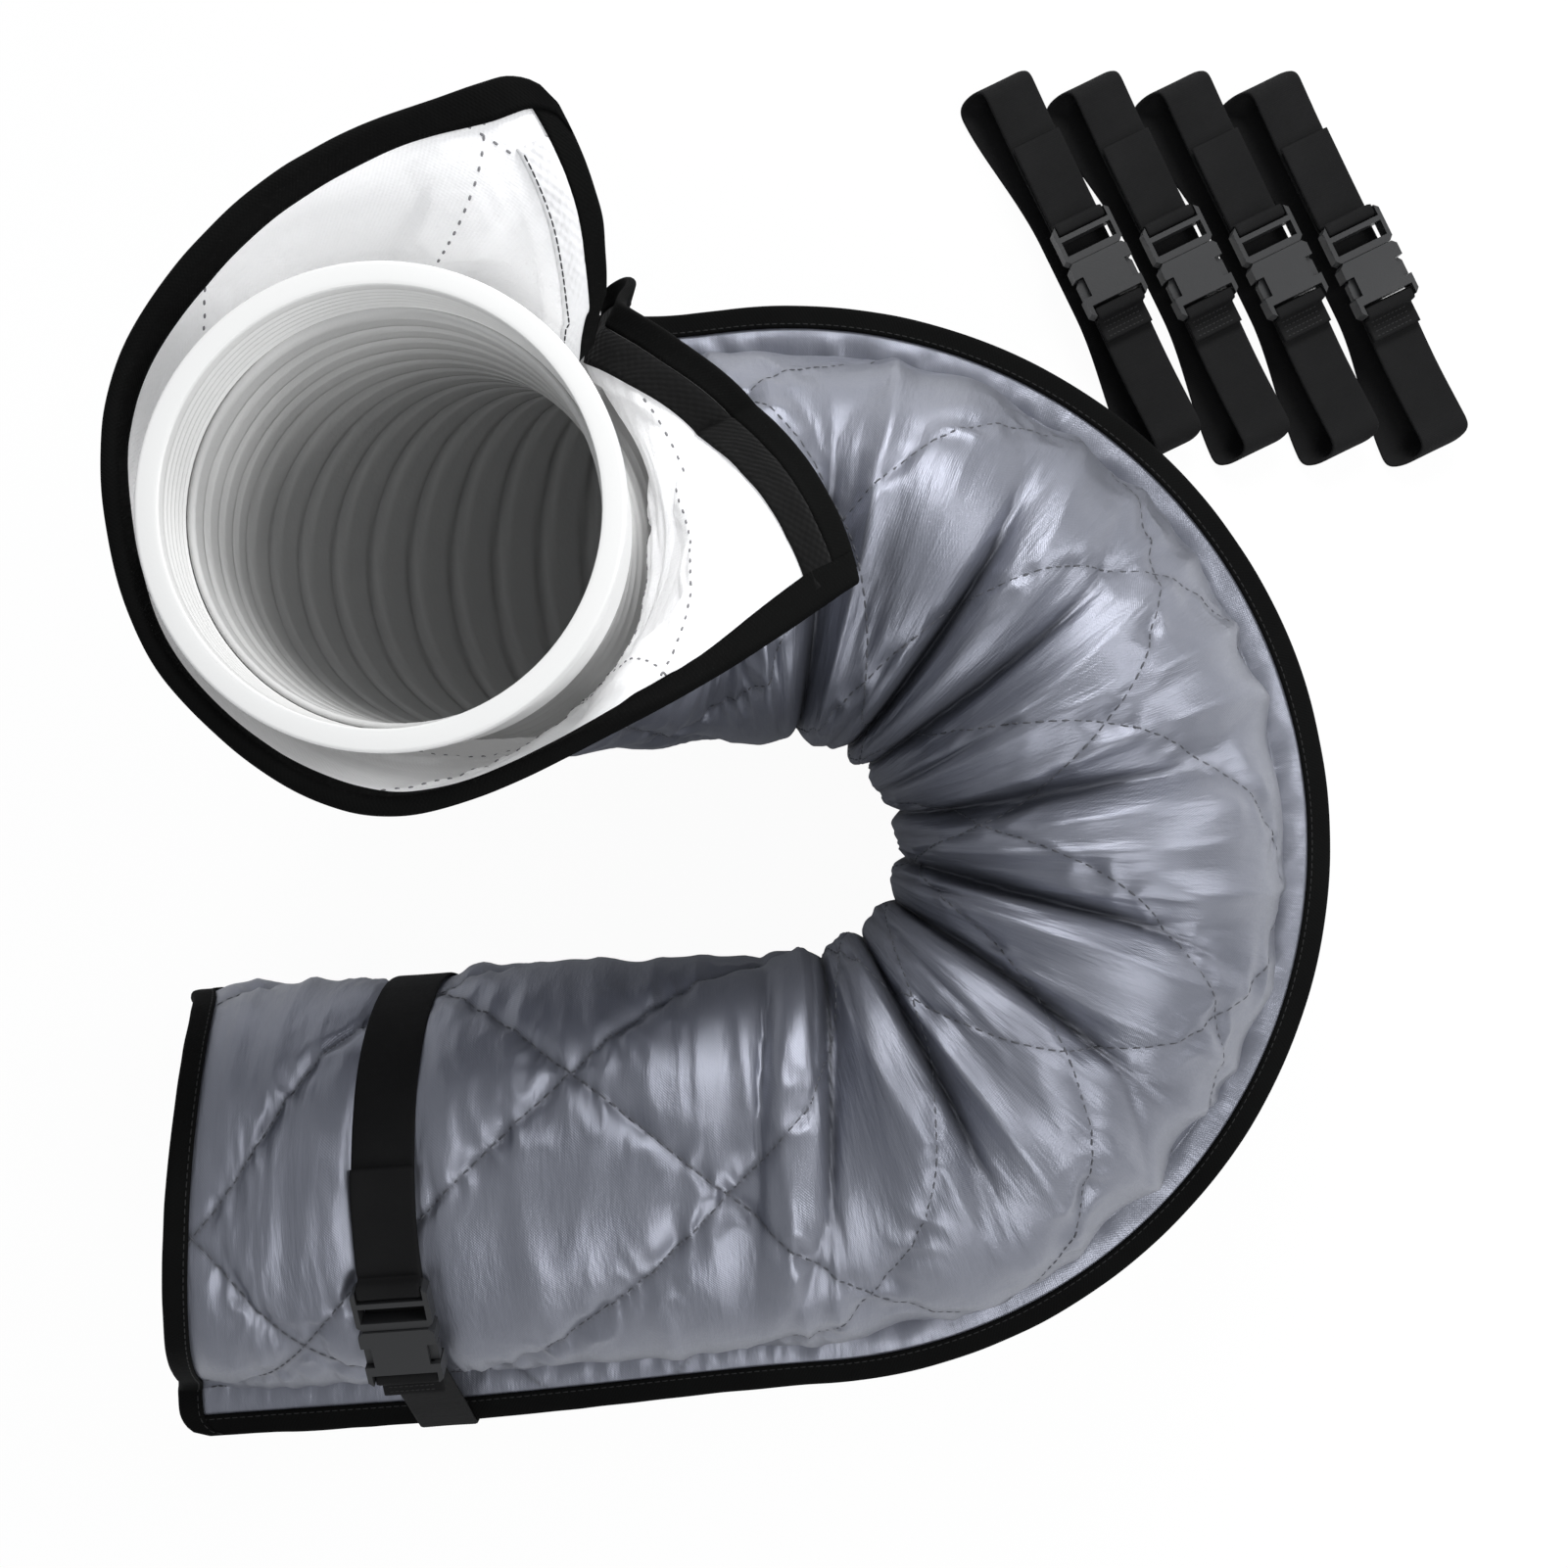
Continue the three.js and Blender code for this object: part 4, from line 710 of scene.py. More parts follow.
def bend_folds():
    """Height of the gathered folds, how far the sheet is inside a crease, and how open it is."""
    centre = cloth_middle[..., :2] - bend_centre[:2]
    radius = np.clip(np.hypot(centre[..., 0], centre[..., 1]), 0.02, 0.22)
    turned = (sleeve_distance - LEG_LENGTH)[:, None] / BEND_RADIUS + np.zeros_like(radius)
    side = (sheet_round - FIN_WIDTH) / (girth - 2 * FIN_WIDTH) * 2 * math.pi  # 0 at the seam
    inner_share = np.clip(1 - side / math.pi, -0.3, 1)
    warp = drift(turned.shape, (14, 6), 11) * 0.10 + drift(turned.shape, (44, 12), 12) * 0.016
    below = 1 - eased(side, math.radians(200), math.radians(255))
    crease = np.zeros_like(radius)
    swell = np.zeros_like(radius)
    tracks = []
    for k in range(-1, FOLDS + 1):
        place = (k + 0.5) * FOLD_STEP + random.uniform(-0.09, 0.09)
        lean = random.uniform(-0.30, 0.10)
        tracks.append(place + lean * inner_share + warp)
        reach = math.radians(random.uniform(20, 62))
        weight = random.uniform(0.8, 1.1) if 0 <= k < FOLDS else 0.45
        full = math.radians(random.uniform(80, 120))
        grown = eased(side, reach, full)
        strength = grown ** 0.7 * below * weight
        width = FOLD_WIDTH * (0.8 + 1.1 * (1 - grown))
        crease = np.maximum(crease, valley((turned - tracks[-1]) * radius, width, 0.15) * strength)
        for way in (-1, 1):  # the fork
            fork = reach + math.radians(random.uniform(22, 45))
            apart = np.clip((fork - side) / fork, 0, 1) * random.uniform(0.12, 0.28) * way
            strength = held(side, reach * 0.6, fork, fork, fork + 0.3) * below
            off = (turned - tracks[-1] - apart) * radius
            crease = np.maximum(crease, valley(off, width, 0.3) * strength * weight * 0.55)
        # A shorter fold between this one and the next.
        place += FOLD_STEP * random.uniform(0.38, 0.62)
        reach = math.radians(random.uniform(72, 108))
        strength = eased(side, reach, math.radians(165)) ** 0.7 * below * random.uniform(0.4, 0.7)
        off = (turned - place - warp - random.uniform(-0.1, 0.1) * inner_share) * radius
        crease = np.maximum(crease, valley(off, FOLD_WIDTH * 0.8, 0.15) * strength)
    for here, there in zip(tracks[:-1], tracks[1:]):
        share = np.clip((turned - here) / np.maximum(there - here, 0.05), 0, 1)
        skew = random.uniform(0.55, 1.5)
        bow = np.sin(math.pi * share ** skew) ** 0.62
        swell = np.maximum(swell, bow * random.uniform(0.8, 1.1))
    swell *= eased(side, math.radians(22), math.radians(118)) * below
    in_bend = held(turned, -0.32, -0.02, BEND_SWEEP - 0.02, BEND_SWEEP + 0.30)
    inmost = eased(side, 2.15, 3.0)  # along the inside of the bend the folds lie close and shallow
    height = (swell * FOLD_RISE * (1 - 0.60 * inmost)
              - crease * FOLD_DEPTH * (0.55 + 0.45 * eased(side, 1.0, 2.0)) * (1 - 0.86 * inmost))
    return height * in_bend, crease * in_bend, 1 - 0.7 * inmost * in_bend


def quilting():
    """Height of the quilted puffs, the distance to the nearest line of stitches, and how far
    each point lies along the two families of lines, of which the first is twice as far apart."""
    slope = math.hypot(1 / QUILT_ALONG, 1 / QUILT_AROUND)
    along = (sheet_along - QUILT_PHASE[0]) / QUILT_ALONG
    across = (sheet_round - QUILT_PHASE[1]) / QUILT_AROUND
    sway = drift(along.shape, (26, 9), 21) * 0.012
    first, second = (along + across + sway) / 2, along - across - sway
    gap_first = np.abs(first - np.round(first)) * 2 / slope
    gap_second = np.abs(second - np.round(second)) / slope
    nearest = np.minimum(gap_first, gap_second)
    puff = np.sin(math.pi * (first % 1)) * np.sin(math.pi * (second % 1))
    groove = np.maximum(valley(gap_first, QUILT_GROOVE), valley(gap_second, QUILT_GROOVE))
    return QUILT_PUFF * puff ** 0.6 - QUILT_DEPTH * groove, nearest, (first, second)


def ridged(shape, cells, seed):
    """Drift with sharp ridges, up to 1."""
    return 1 - np.abs(drift(shape, cells, seed)) * 2


folds, in_crease, open_cloth = bend_folds()
quilt, to_stitch, quilt_phase = quilting()
shape = folds.shape
from_edge = np.minimum(sheet_round, girth - sheet_round)
to_seam = np.abs(from_edge - SEAM_FROM_EDGE)
calm = 1 - np.clip(in_crease, 0, 1) * 0.8
bend_share = held(sleeve_distance, LEG_LENGTH - 0.03, LEG_LENGTH + 0.03,
                  BEND_END - 0.02, BEND_END + 0.04)[:, None]
quilt_share = (1 - 0.62 * bend_share) * calm  # folds pull the quilting flat
long_side = float(np.max(sheet_along) - np.min(sheet_along))

# Wrinkles: across the leg, drawn towards the bend, and puckered along stitches and seams.
LEG_WRINKLE = 0.0014
BEND_WRINKLE = 0.0032
STITCH_PUCKER = 0.0017
SEAM_PUCKER = 0.0013
SLOW_WAVE = 0.0012
STRAP_GATHER = 0.0012
SEAM_DEPTH = 0.0016
PUCKER_REACH = 0.009
GATHER_REACH = 0.028  # the strap gathers the cloth beside it, and lies on smooth cloth
STRAP_CLEARING = 0.0135
LINING_WRINKLE = 0.0009
LINING_WAVE = 0.0012
LINING_LIFT = 0.0015  # the most that the lining comes up into the wadding
HEM_THINNING = 0.35
BUCKLE_CLEARING = 0.046  # the fitted strap's buckle slides open over flat cloth
DEEPEST_TAIL = -0.0022  # inside there is only room down to the coupling, and to the hose
DEEPEST = -0.0040
TAIL_ZONE = 0.075

across_leg = (ridged(shape, (int(long_side / 0.013), 11), 31) * 0.55
              + ridged(shape, (int(long_side / 0.024), 8), 32) * 0.75)
pucker = ridged(shape, (int(long_side / 0.0075), 60), 33)
hem = eased(from_edge, EDGE_STRIP * 0.7, EDGE_STRIP * 1.6)
fin_flat = eased(from_edge, FIN_WIDTH * 0.85, FIN_WIDTH * 1.5)
pulled = held(sleeve_distance, LEG_LENGTH - 0.12, LEG_LENGTH + 0.03,
              BEND_END - 0.02, BEND_END + 0.06)[:, None]
radial = ridged(shape, (int(long_side / 0.016), 5), 36) * pulled
wrinkles = (across_leg * LEG_WRINKLE * fin_flat * calm * open_cloth
            + radial * BEND_WRINKLE * fin_flat * calm * open_cloth
            + pucker * STITCH_PUCKER * valley(to_stitch, PUCKER_REACH, 0.4) * fin_flat * calm
            + pucker * SEAM_PUCKER * valley(to_seam, PUCKER_REACH, 0.4) * hem
            + drift(shape, (int(long_side / 0.05), 7), 34) * SLOW_WAVE * fin_flat)
strap_near = np.exp(-((sleeve_distance - STRAP_PLACE) / GATHER_REACH) ** 2)[:, None]
strap_clear = 1 - np.exp(-((sleeve_distance - STRAP_PLACE) / STRAP_CLEARING) ** 4)[:, None]
end_calm = held(sleeve_distance, SLEEVE_START + 0.004, SLEEVE_START + 0.03,
                SLEEVE_END - 0.03, SLEEVE_END - 0.004)[:, None]
seam_groove = -SEAM_DEPTH * valley(to_seam, 0.0035, 0.3)
gather = ridged(shape, (int(long_side / 0.006), 26), 35) * STRAP_GATHER * strap_near
outer_height = (folds + quilt * fin_flat * quilt_share + wrinkles + gather * fin_flat
                + seam_groove) * strap_clear * end_calm * hem
buckle_place = np.mean([list(corner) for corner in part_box("fitted_strap_buckle_plug")], axis=0)
from_buckle = np.linalg.norm(cloth_middle - buckle_place, axis=-1)
cleared = outer_height * (1 - np.exp(-(from_buckle / BUCKLE_CLEARING) ** 4))
outer_height = np.where(outer_height > 0, cleared, outer_height)
# On the floor the folds are pressed flat.
pressed = 1 - 0.85 * np.clip(-cloth_normal[..., 2] - 0.75, 0, 1) * 4 * (from_edge > FIN_WIDTH)
outer_height = outer_height * np.clip(pressed, 0.1, 1)
deepest = np.where(sheet_along < TAIL_ZONE, DEEPEST_TAIL, DEEPEST)
outer_height = np.maximum(outer_height, deepest)
lining_wrinkles = (ridged(shape, (int(long_side / 0.022), 16), 37) * LINING_WRINKLE
                   + drift(shape, (18, 10), 38) * LINING_WAVE)
inner_height = np.minimum(outer_height * 0.75 + lining_wrinkles * fin_flat, LINING_LIFT * fin_flat)


def cloth_material(name, colour_low, colour_high, roughness, metallic, threads, weave_depth,
                   sheen=0.0, spec=0.5, crinkle_depth=0.0007, glow=0.0):
    """Woven cloth: crossing threads on the sheet's own coordinates, slow changes of tone, and
    fine crinkles that run across the sheet. Painted shade darkens it where the mesh's crease
    attribute marks the bottom of a fold or of a line of stitches; glow is painted light."""
    material = bpy.data.materials.new(name)
    shade = blank(material)
    sheet = shade.node("ShaderNodeUVMap", {"uv_map": "cloth"})
    along, across = (shade.node("ShaderNodeSeparateXYZ", inputs={0: sheet}, output=k)
                     for k in (0, 1))
    warp, weft = (shade.math("SINE", way * (2 * math.pi * threads)) for way in (along, across))
    slub = shade.noise(sheet, 620, 2)
    stops = [(0.25, (*colour_low, 1)), (0.75, (*colour_high, 1))]
    ramp = shade.node("ShaderNodeValToRGB", {"stops": stops}, {0: shade.noise(sheet, 14, 4, 0.6)})
    # Painted shade: the crease attribute darkens the base colour where folds and stitches would be
    # in shadow.
    depth = shade.node("ShaderNodeAttribute", {"attribute_name": "crease"}, output="Fac")
    streak = shade.node("ShaderNodeCombineXYZ", inputs={0: along, 1: across * 0.24})
    weave = shade.bump(warp * weft * 0.5 + slub, 0.35, weave_depth)
    crinkle = shade.bump(shade.noise(streak, 85, 5, 0.6), 0.7, crinkle_depth, Normal=weave)
    skin = shade.node("ShaderNodeBsdfPrincipled", inputs={
        "Base Color": shade.times(ramp, 1 - depth), "Metallic": metallic,
        "Roughness": slub * GLOSS_SPREAD + (roughness - GLOSS_SPREAD / 2),
        "Normal": crinkle, "Sheen Weight": sheen, "Specular IOR Level": spec,
        "Emission Color": (1, 1, 1, 1), "Emission Strength": glow})
    shade.node("ShaderNodeOutputMaterial", inputs={"Surface": skin})
    return material


silver_nylon = cloth_material("silver_nylon", (0.20, 0.21, 0.25), (0.26, 0.27, 0.315), 0.40, 0.74,
                              900, 0.0002, crinkle_depth=0.0016)
# Painted light: glow makes the lining give off a little light of its own, so that it stays white
# where the coupling shades it.
white_lining = cloth_material("white_lining", (0.91, 0.91, 0.92), (0.94, 0.94, 0.95), 0.75, 0.0,
                              620, 0.00022, crinkle_depth=0.0022, glow=0.10)
white_wadding = cloth_material("white_wadding", (0.78, 0.78, 0.76), (0.84, 0.84, 0.82), 0.95, 0.0,
                               300, 0.0006)

thin = 1 - HEM_THINNING * (1 - hem)
outer_face = LAYERS_HALF * thin + outer_height
SHELL_CLOTH = 0.0005
LINING_CLOTH = 0.0005
LAYER_GAP = 0.0001
THINNEST = 0.0021  # the three layers together


def shrunk(height, step, pick):
    """The lowest (pick is minimum) or highest height within step points of each."""
    for axis in (0, 1):
        parts = [np.roll(height, k, axis) for k in range(-step, step + 1)]
        height = pick.reduce(parts)
    return height


inner_face = np.minimum(-LAYERS_HALF * thin + inner_height,
                        shrunk(outer_face, 4, np.minimum) - THINNEST)


def layer(name, high, low, step, finish, lowest):
    """One layer of the sleeve between two heights off its middle surface, every step points."""
    rows = np.unique(np.append(np.arange(0, shape[0], step), shape[0] - 1))
    cols = np.unique(np.append(np.arange(0, shape[1], step), shape[1] - 1))
    pick = np.ix_(rows, cols)
    spread = np.stack([sheet_along, sheet_round], -1)[pick]
    faces = [cloth_middle[pick] + cloth_normal[pick] * height[pick][..., None]
             for height in (high, low)]
    kept_above(lowest, faces)
    return wall(name, faces[0], faces[1], False, finish, spread)


shell = layer("silver_shell", outer_face, outer_face - SHELL_CLOTH, 1, silver_nylon, 0.0)
wadding_top = shrunk(outer_face, 3, np.minimum) - SHELL_CLOTH - LAYER_GAP
wadding_floor = shrunk(inner_face, 3, np.maximum) + LINING_CLOTH + LAYER_GAP
wadding_floor = np.minimum(wadding_floor, wadding_top - 0.0002)
batting = layer("wadding", wadding_top, wadding_floor, 3, white_wadding, 0.0006)
lining = layer("white_lining", inner_face + LINING_CLOTH, inner_face, 1, white_lining, 0.0012)
# Painted shade: little light reaches the bottom of a fold or of a line of stitches, so the silver's
# colour is darkened there through its crease attribute.
STITCH_SHADOW = 0.42
DARKEST = 0.93
shadow = (np.clip(in_crease, 0, 1) ** 2.6 * 0.97
          + valley(to_stitch, 0.0011, 0.3) * STITCH_SHADOW * (1 - bend_share * 0.6)
          + valley(to_seam, 0.0010, 0.3) * STITCH_SHADOW)
shadow = np.clip(shadow, 0, DARKEST).ravel()
# The painted shade is stored on the shell's points as its crease attribute.
painted_shade_mark = shell.data.attributes.new("crease", "FLOAT", "POINT")
painted_shade_mark.data.foreach_set("value", np.tile(shadow, 2).astype(np.float32))

stand_for(shell, "sleeve_shell")
stand_for(batting, "sleeve_batting")
stand_for(lining, "sleeve_lining")

# ---- bindings ----------------------------------------------------------------------------
# Black woven tape, 18 mm wide, folded over every free edge of the sleeve and sewn through.
# The two end tapes lie over the ends of the two long ones.
BINDING_WIDTH = 0.0092
BINDING_CLOTH = 0.0007
BINDING_GAP = 0.00015
BINDING_ROUND = 7

ways = shares * girth
binding_black = cloth_material("binding_black", (0.003, 0.003, 0.003), (0.005, 0.0052, 0.005),
                               0.85, 0.0, 700, 0.0004, spec=0.05)
thread_black = plastic("thread_black", (0.008, 0.008, 0.008), 0.8, 0.3, 0.0008, 0.0002)


def blend_at(grid, axis, place):
    """Values of a grid at fractional places along one axis, the same for the whole other axis."""
    low = np.clip(np.floor(place).astype(int), 0, grid.shape[axis] - 2)
    part = place - low
    form = [1] * grid.ndim
    form[axis] = -1
    part = np.reshape(part, form)
    return np.take(grid, low, axis) * (1 - part) + np.take(grid, low + 1, axis) * part


def columns_at(inboard, side):
    """Fractional columns at these distances in from the lower or upper free edge."""
    place = np.interp(inboard, ways, np.arange(columns))
    return columns - 1 - place if side == "upper" else place


def folded_over(name, side, run, lift):
    """A binding on part of one edge: lower or upper, along the sheet, or tail or mouth."""
    inboard = np.linspace(BINDING_WIDTH, 0, 6)
    along = side in ("lower", "upper")
    if along:
        place = columns_at(inboard, side)
    else:
        here = SLEEVE_START + inboard if side == "tail" else SLEEVE_END - inboard * 0.85
        place = np.interp(here, sleeve_distance, np.arange(SLEEVE_ROWS))
    taken = [blend_at(grid, int(along), place)
             for grid in (cloth_middle, cloth_normal, outer_face, inner_face)]
    middle, normal, high, low = ((value if along else np.swapaxes(value, 0, 1))[run]
                                 for value in taken)
    past = unit(middle[:, -1] - middle[:, -2])
    ripple = drift((middle.shape[0], 1), (middle.shape[0] // 5, 1), 41 + len(name)) * 0.00018
    turn = np.linspace(0, math.pi, BINDING_ROUND)

    def skin(offset):
        top = middle + normal * (high + offset)[..., None]
        under = middle[:, ::-1] + normal[:, ::-1] * (low[:, ::-1] - offset)[..., None]
        centre = middle[:, -1] + normal[:, -1] * ((high[:, -1] + low[:, -1]) / 2)[:, None]
        half = ((high[:, -1] - low[:, -1]) / 2 + offset[:, 0])[:, None, None]
        bow = (centre[:, None] + normal[:, -1:] * half * np.cos(turn)[None, :, None]
               + past[:, None] * (half * 0.55 + offset[:, :, None] * 0.45)
               * np.sin(turn)[None, :, None])
        return np.concatenate([top[:, :-1], bow, under[:, 1:]], 1)

    outside = skin(BINDING_GAP + BINDING_CLOTH + lift + ripple)
    inside = skin(np.full_like(ripple, BINDING_GAP + lift))
    kept_above(0.0, (outside, inside))
    width = np.linspace(0, 2 * BINDING_WIDTH, outside.shape[1])
    spread = every_pair(length_passed(middle[:, -1]), width)
    sewn.append((outside[:, 1], normal[:, 0]))
    return wall(name, outside, inside, False, binding_black, spread)


# Half of a stitch's thickness along it: places in its lengths, and shares of its radius.
STITCH_FORM = [(-0.5, 0.0), (-0.42, 0.8), (0.0, 1.0), (0.42, 0.8), (0.5, 0.0)]
STITCH_SIDES = 6
STITCH_TIP = 2e-5


def dashes(name, lines, pitch, length, radius, sink, finish):
    """Visible stitches: short rounded lengths of thread along lines of (points, normals)."""
    form = []  # ahead, up and aside, from a stitch's middle
    for along, share in STITCH_FORM:
        thick, rise = radius * share + STITCH_TIP, radius * (share - 1) - sink
        for angle in np.arange(STITCH_SIDES) * 2 * math.pi / STITCH_SIDES:
            form.append((along * length, rise + math.sin(angle) * 0.8 * thick,
                         math.cos(angle) * thick))
    middle, axes = [], []
    for line, lift in lines:
        passed = length_passed(line)
        if passed[-1] < pitch * 1.5:
            continue
        place = np.arange(pitch * 0.6, passed[-1] - pitch * 0.6, pitch)
        up = unit(at_length(place, passed, lift))
        ahead = unit(at_length(place + length / 2, passed, line)
                     - at_length(place - length / 2, passed, line))
        middle.append(at_length(place, passed, line))
        axes.append(np.stack([ahead, up, np.cross(up, ahead)], 1))
    middle, axes = np.concatenate(middle), np.concatenate(axes)
    points = middle[:, None] + np.array(form) @ axes
    index = np.arange(len(form)).reshape(-1, STITCH_SIDES)
    faces = grid_faces(np.hstack([index, index[:, :1]]))
    faces = faces + (np.arange(len(middle)) * len(form))[:, None, None]
    made = solid(name, points.reshape(-1, 3), faces.reshape(-1, 4), finish)
    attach(made, "root")


sewn = []
edge_rows = slice(int(SLEEVE_ROWS * 0.008), SLEEVE_ROWS - int(SLEEVE_ROWS * 0.004))
for side, node in (("lower", "lower_edge_binding"), ("upper", "upper_edge_binding"),
                   ("tail", "tail_binding"), ("mouth", "mouth_binding")):
    run, lift = (edge_rows, 0) if side in ("lower", "upper") else (slice(None), 0.0004)
    made = folded_over(side + "_tape", side, run, lift)
    stand_for(made, node)
dashes("binding_stitches", sewn, 0.0034, 0.0026, 0.00024, -0.00005, thread_black)

# ---- closing tapes -----------------------------------------------------------------------
# Woven tapes sewn inside the two long edges: a bristly black one on the upper panel, and a
# napped white one on the lower, with a dark line of stitches along its inboard edge.
TAPE_WIDTH = 0.0135
TAPE_THICKNESS = 0.0011
TAPE_START = 0.0093
TAPE_STOP = {"upper": 0.997, "lower": 0.985}  # of the sleeve's length

bristle_black = cloth_material("bristle_black", (0.003, 0.003, 0.003), (0.010, 0.010, 0.010),
                               0.95, 0.0, 330, 0.0012, sheen=0.05, spec=0.1)
napped_white = cloth_material("napped_white", (0.76, 0.76, 0.77), (0.83, 0.83, 0.84),
                              0.95, 0.0, 260, 0.0009, sheen=0.3)


def closing_tape(name, side, finish, node):
    """One tape, and the line with its normals that its inboard seam follows."""
    inboard = np.linspace(TAPE_START, TAPE_START + TAPE_WIDTH, 9)
    run = slice(edge_rows.start, int(SLEEVE_ROWS * TAPE_STOP[side]))
    middle, normal, low = (blend_at(grid, 1, columns_at(inboard, side))[run]
                           for grid in (cloth_middle, cloth_normal, inner_face))
    edge_drop = 1 - np.array([1, 0.3, 0, 0, 0, 0, 0, 0.3, 1]) * 0.35
    nap = drift(low.shape, (low.shape[0] // 2, 7), 51) * 0.00012
    near = middle + normal * (low - LAYER_GAP)[..., None]
    far = middle + normal * (low - LAYER_GAP - TAPE_THICKNESS * edge_drop - nap)[..., None]
    made = wall(name, near, far, False, finish, every_pair(sleeve_distance[run], inboard))
    stand_for(made, node)
    return far[:, -2], -normal[:, -2]


closing_tape("bristly_tape", "upper", bristle_black, "hook_tape")
inboard_seam = closing_tape("napped_tape", "lower", napped_white, "loop_tape")
seam_dark = plastic("seam_dark", (0.03, 0.03, 0.033), 0.8, 0.2, 0.0008, 0.0002)
dashes("tape_seam", [inboard_seam], 0.0028, 0.0026, 0.0003, 0.0, seam_dark)

# ---- quilting thread ---------------------------------------------------------------------
# The stitches that hold the layers together: crossing lines, and one line along each side of
# the fin. On the silver side the thread is grey; on the lining it shows as dark dots.
THREAD_PITCH = 0.0050
thread_grey = plastic("thread_grey", (0.07, 0.073, 0.085), 0.7, 0.2, 0.0008, 0.0002)
thread_dots = plastic("thread_dots", (0.22, 0.22, 0.23), 0.8, 0.2, 0.0008, 0.0002)


def on_cloth(rows, place, face):
    """Points and normals at fractional columns, one for each row, on one face of the sleeve."""
    low = np.clip(np.floor(place).astype(int), 0, columns - 2)
    part = (place - low)[:, None]
    middle, normal, height = (grid[rows, low].reshape(len(rows), -1) * (1 - part)
                              + grid[rows, low + 1].reshape(len(rows), -1) * part
                              for grid in (cloth_middle, cloth_normal, face))
    return middle + normal * height, normal


def quilt_lines(face, flip):
    """The crossing lines of stitches between the two seams, and which way is off the cloth."""
    lines = []
    inside = (sheet_round[0] > SEAM_FROM_EDGE) & (sheet_round[0] < girth - SEAM_FROM_EDGE)
    lowest, highest = np.argmax(inside), columns - 1 - np.argmax(inside[::-1])
    for phase in quilt_phase:
        rise = 1 if phase[0, -1] > phase[0, 0] else -1
        for level in range(int(phase.min()), int(phase.max()) + 2):
            place = np.array([np.interp(level * rise, row * rise, np.arange(columns), -1, -1)
                              for row in phase])
            rows = np.nonzero((place > lowest) & (place < highest))[0]
            for piece in np.split(rows, np.nonzero(np.diff(rows) > 1)[0] + 1):
                if len(piece) > 6:
                    line, lift = on_cloth(piece, place[piece], face)
                    lines.append((line, lift * flip))
    return lines


def seam_lines(face):
    """The two seams that close the sleeve along its fin."""
    rows = np.arange(8, SLEEVE_ROWS - 8)
    return [on_cloth(rows, np.full(len(rows), columns_at(SEAM_FROM_EDGE, side)), face)
            for side in ("lower", "upper")]


dashes("quilt_thread", quilt_lines(outer_face, 1), THREAD_PITCH, 0.0036, 0.00045, 0.0, thread_grey)
dashes("fin_thread", seam_lines(outer_face), 0.0030, 0.0026, 0.00042, 0.0, seam_dark)
dashes("lining_thread", quilt_lines(inner_face, -1), THREAD_PITCH, 0.0020, 0.0005, 0.0, thread_dots)

# ---- straps ------------------------------------------------------------------------------
# Black ribbed elastic webbing, 25 mm wide, in five loops, each closed by a side-release buckle.
# One end is sewn over the bar of the buckle's housing. The other goes up through the plug's
# slot, over its end bar and back along the strap.
WEBBING_HALF_WIDTH = 0.0125
WEBBING_HALF = 0.0008
BAND_COLUMNS = 43
RIB_DEPTH = 0.10  # of the thickness
WEBBING_GAP = 0.0003
STRAP_FREE_END = 0.045
SEWN_LENGTH = 0.011
TACK_HALF = 0.0105
WEBBING_BEND = 0.0012
BAR_RISE = 0.0056
PLUG_SLOT = -0.0155
PLUG_END = -0.0195
TUCKED_END = -0.0042
HOUSING_END = 0.028
HOUSING_SLOT = 0.024
LOOP_HALF_LENGTH = 0.100
LOOSE_LEAN = 0.0125  # a loose loop leans over, so that its lower layer shows beside the upper
FIN_TIP = 0.0010
FIN_CORNER = 0.0025
MOULD_RADIUS = 0.0007
LOOP_HALF_HEIGHT = 0.0072
UNDER_BUCKLE = -WEBBING_GAP - WEBBING_HALF
FREE_LEVEL = UNDER_BUCKLE + 2 * WEBBING_HALF + WEBBING_GAP
OVER_BAR = BAR_RISE + WEBBING_GAP + WEBBING_HALF

webbing_black = cloth_material("webbing_black", (0.0042, 0.0042, 0.0044), (0.0095, 0.0095, 0.0098),
                               0.78, 0.0, 900, 0.0003, spec=0.12)
buckle_black = plastic("buckle_black", (0.017, 0.0175, 0.0185), 0.42, 0.16, 0.0009, 0.00025, 0.06)
bar_tack = plastic("bar_tack", (0.011, 0.011, 0.0115), 0.85, 0.3, 0.0008, 0.0003)


def buckle_frame(strap):
    """Where a buckle's plug meets its housing, and its axes: ahead, across and off the webbing."""
    joints = {joint["name"]: joint for joint in frame["joints"]}
    ahead = -np.array(joints[strap + "_release"]["axis"])
    off = np.array(joints[strap + "_squeeze_right"]["axis"])
    across = np.cross(off, ahead)
    mesh = frame["nodes"][strap + "_buckle_housing"].data
    spots = np.array([vertex.co[:] for vertex in mesh.vertices])
    wide = spots @ across
    origin = (ahead * (spots @ ahead).min() + off * (spots @ off).min()
              + across * (wide.min() + wide.max()) / 2)
    return origin, ahead, across, off


def bent(corners, radius):
    """An open line with its corners rounded, each by no more than its sides have room for."""
    corners = [np.array(corner, float) for corner in corners]
    path = [corners[0]]
    for before, here, after in zip(corners[:-2], corners[1:-1], corners[2:]):
        back, on = before - here, after - here
        reach = min(radius, np.linalg.norm(back) / 2, np.linalg.norm(on) / 2)
        start, end = here + unit(back) * reach, here + unit(on) * reach
        share = np.linspace(0, 1, 6)[:, None]
        path.extend((1 - share) ** 2 * start + 2 * share * (1 - share) * here + share ** 2 * end)
    path.append(corners[-1])
    path = np.array(path)
    return path[np.concatenate([[True], np.linalg.norm(np.diff(path, axis=0), axis=1) > 1e-5])]


def in_steps(path, step):
    """The same line in even steps of about this length, and the length passed at each point."""
    passed = length_passed(path)
    wanted = np.linspace(0, passed[-1], max(int(passed[-1] / step), 4))
    return at_length(wanted, passed, path), wanted


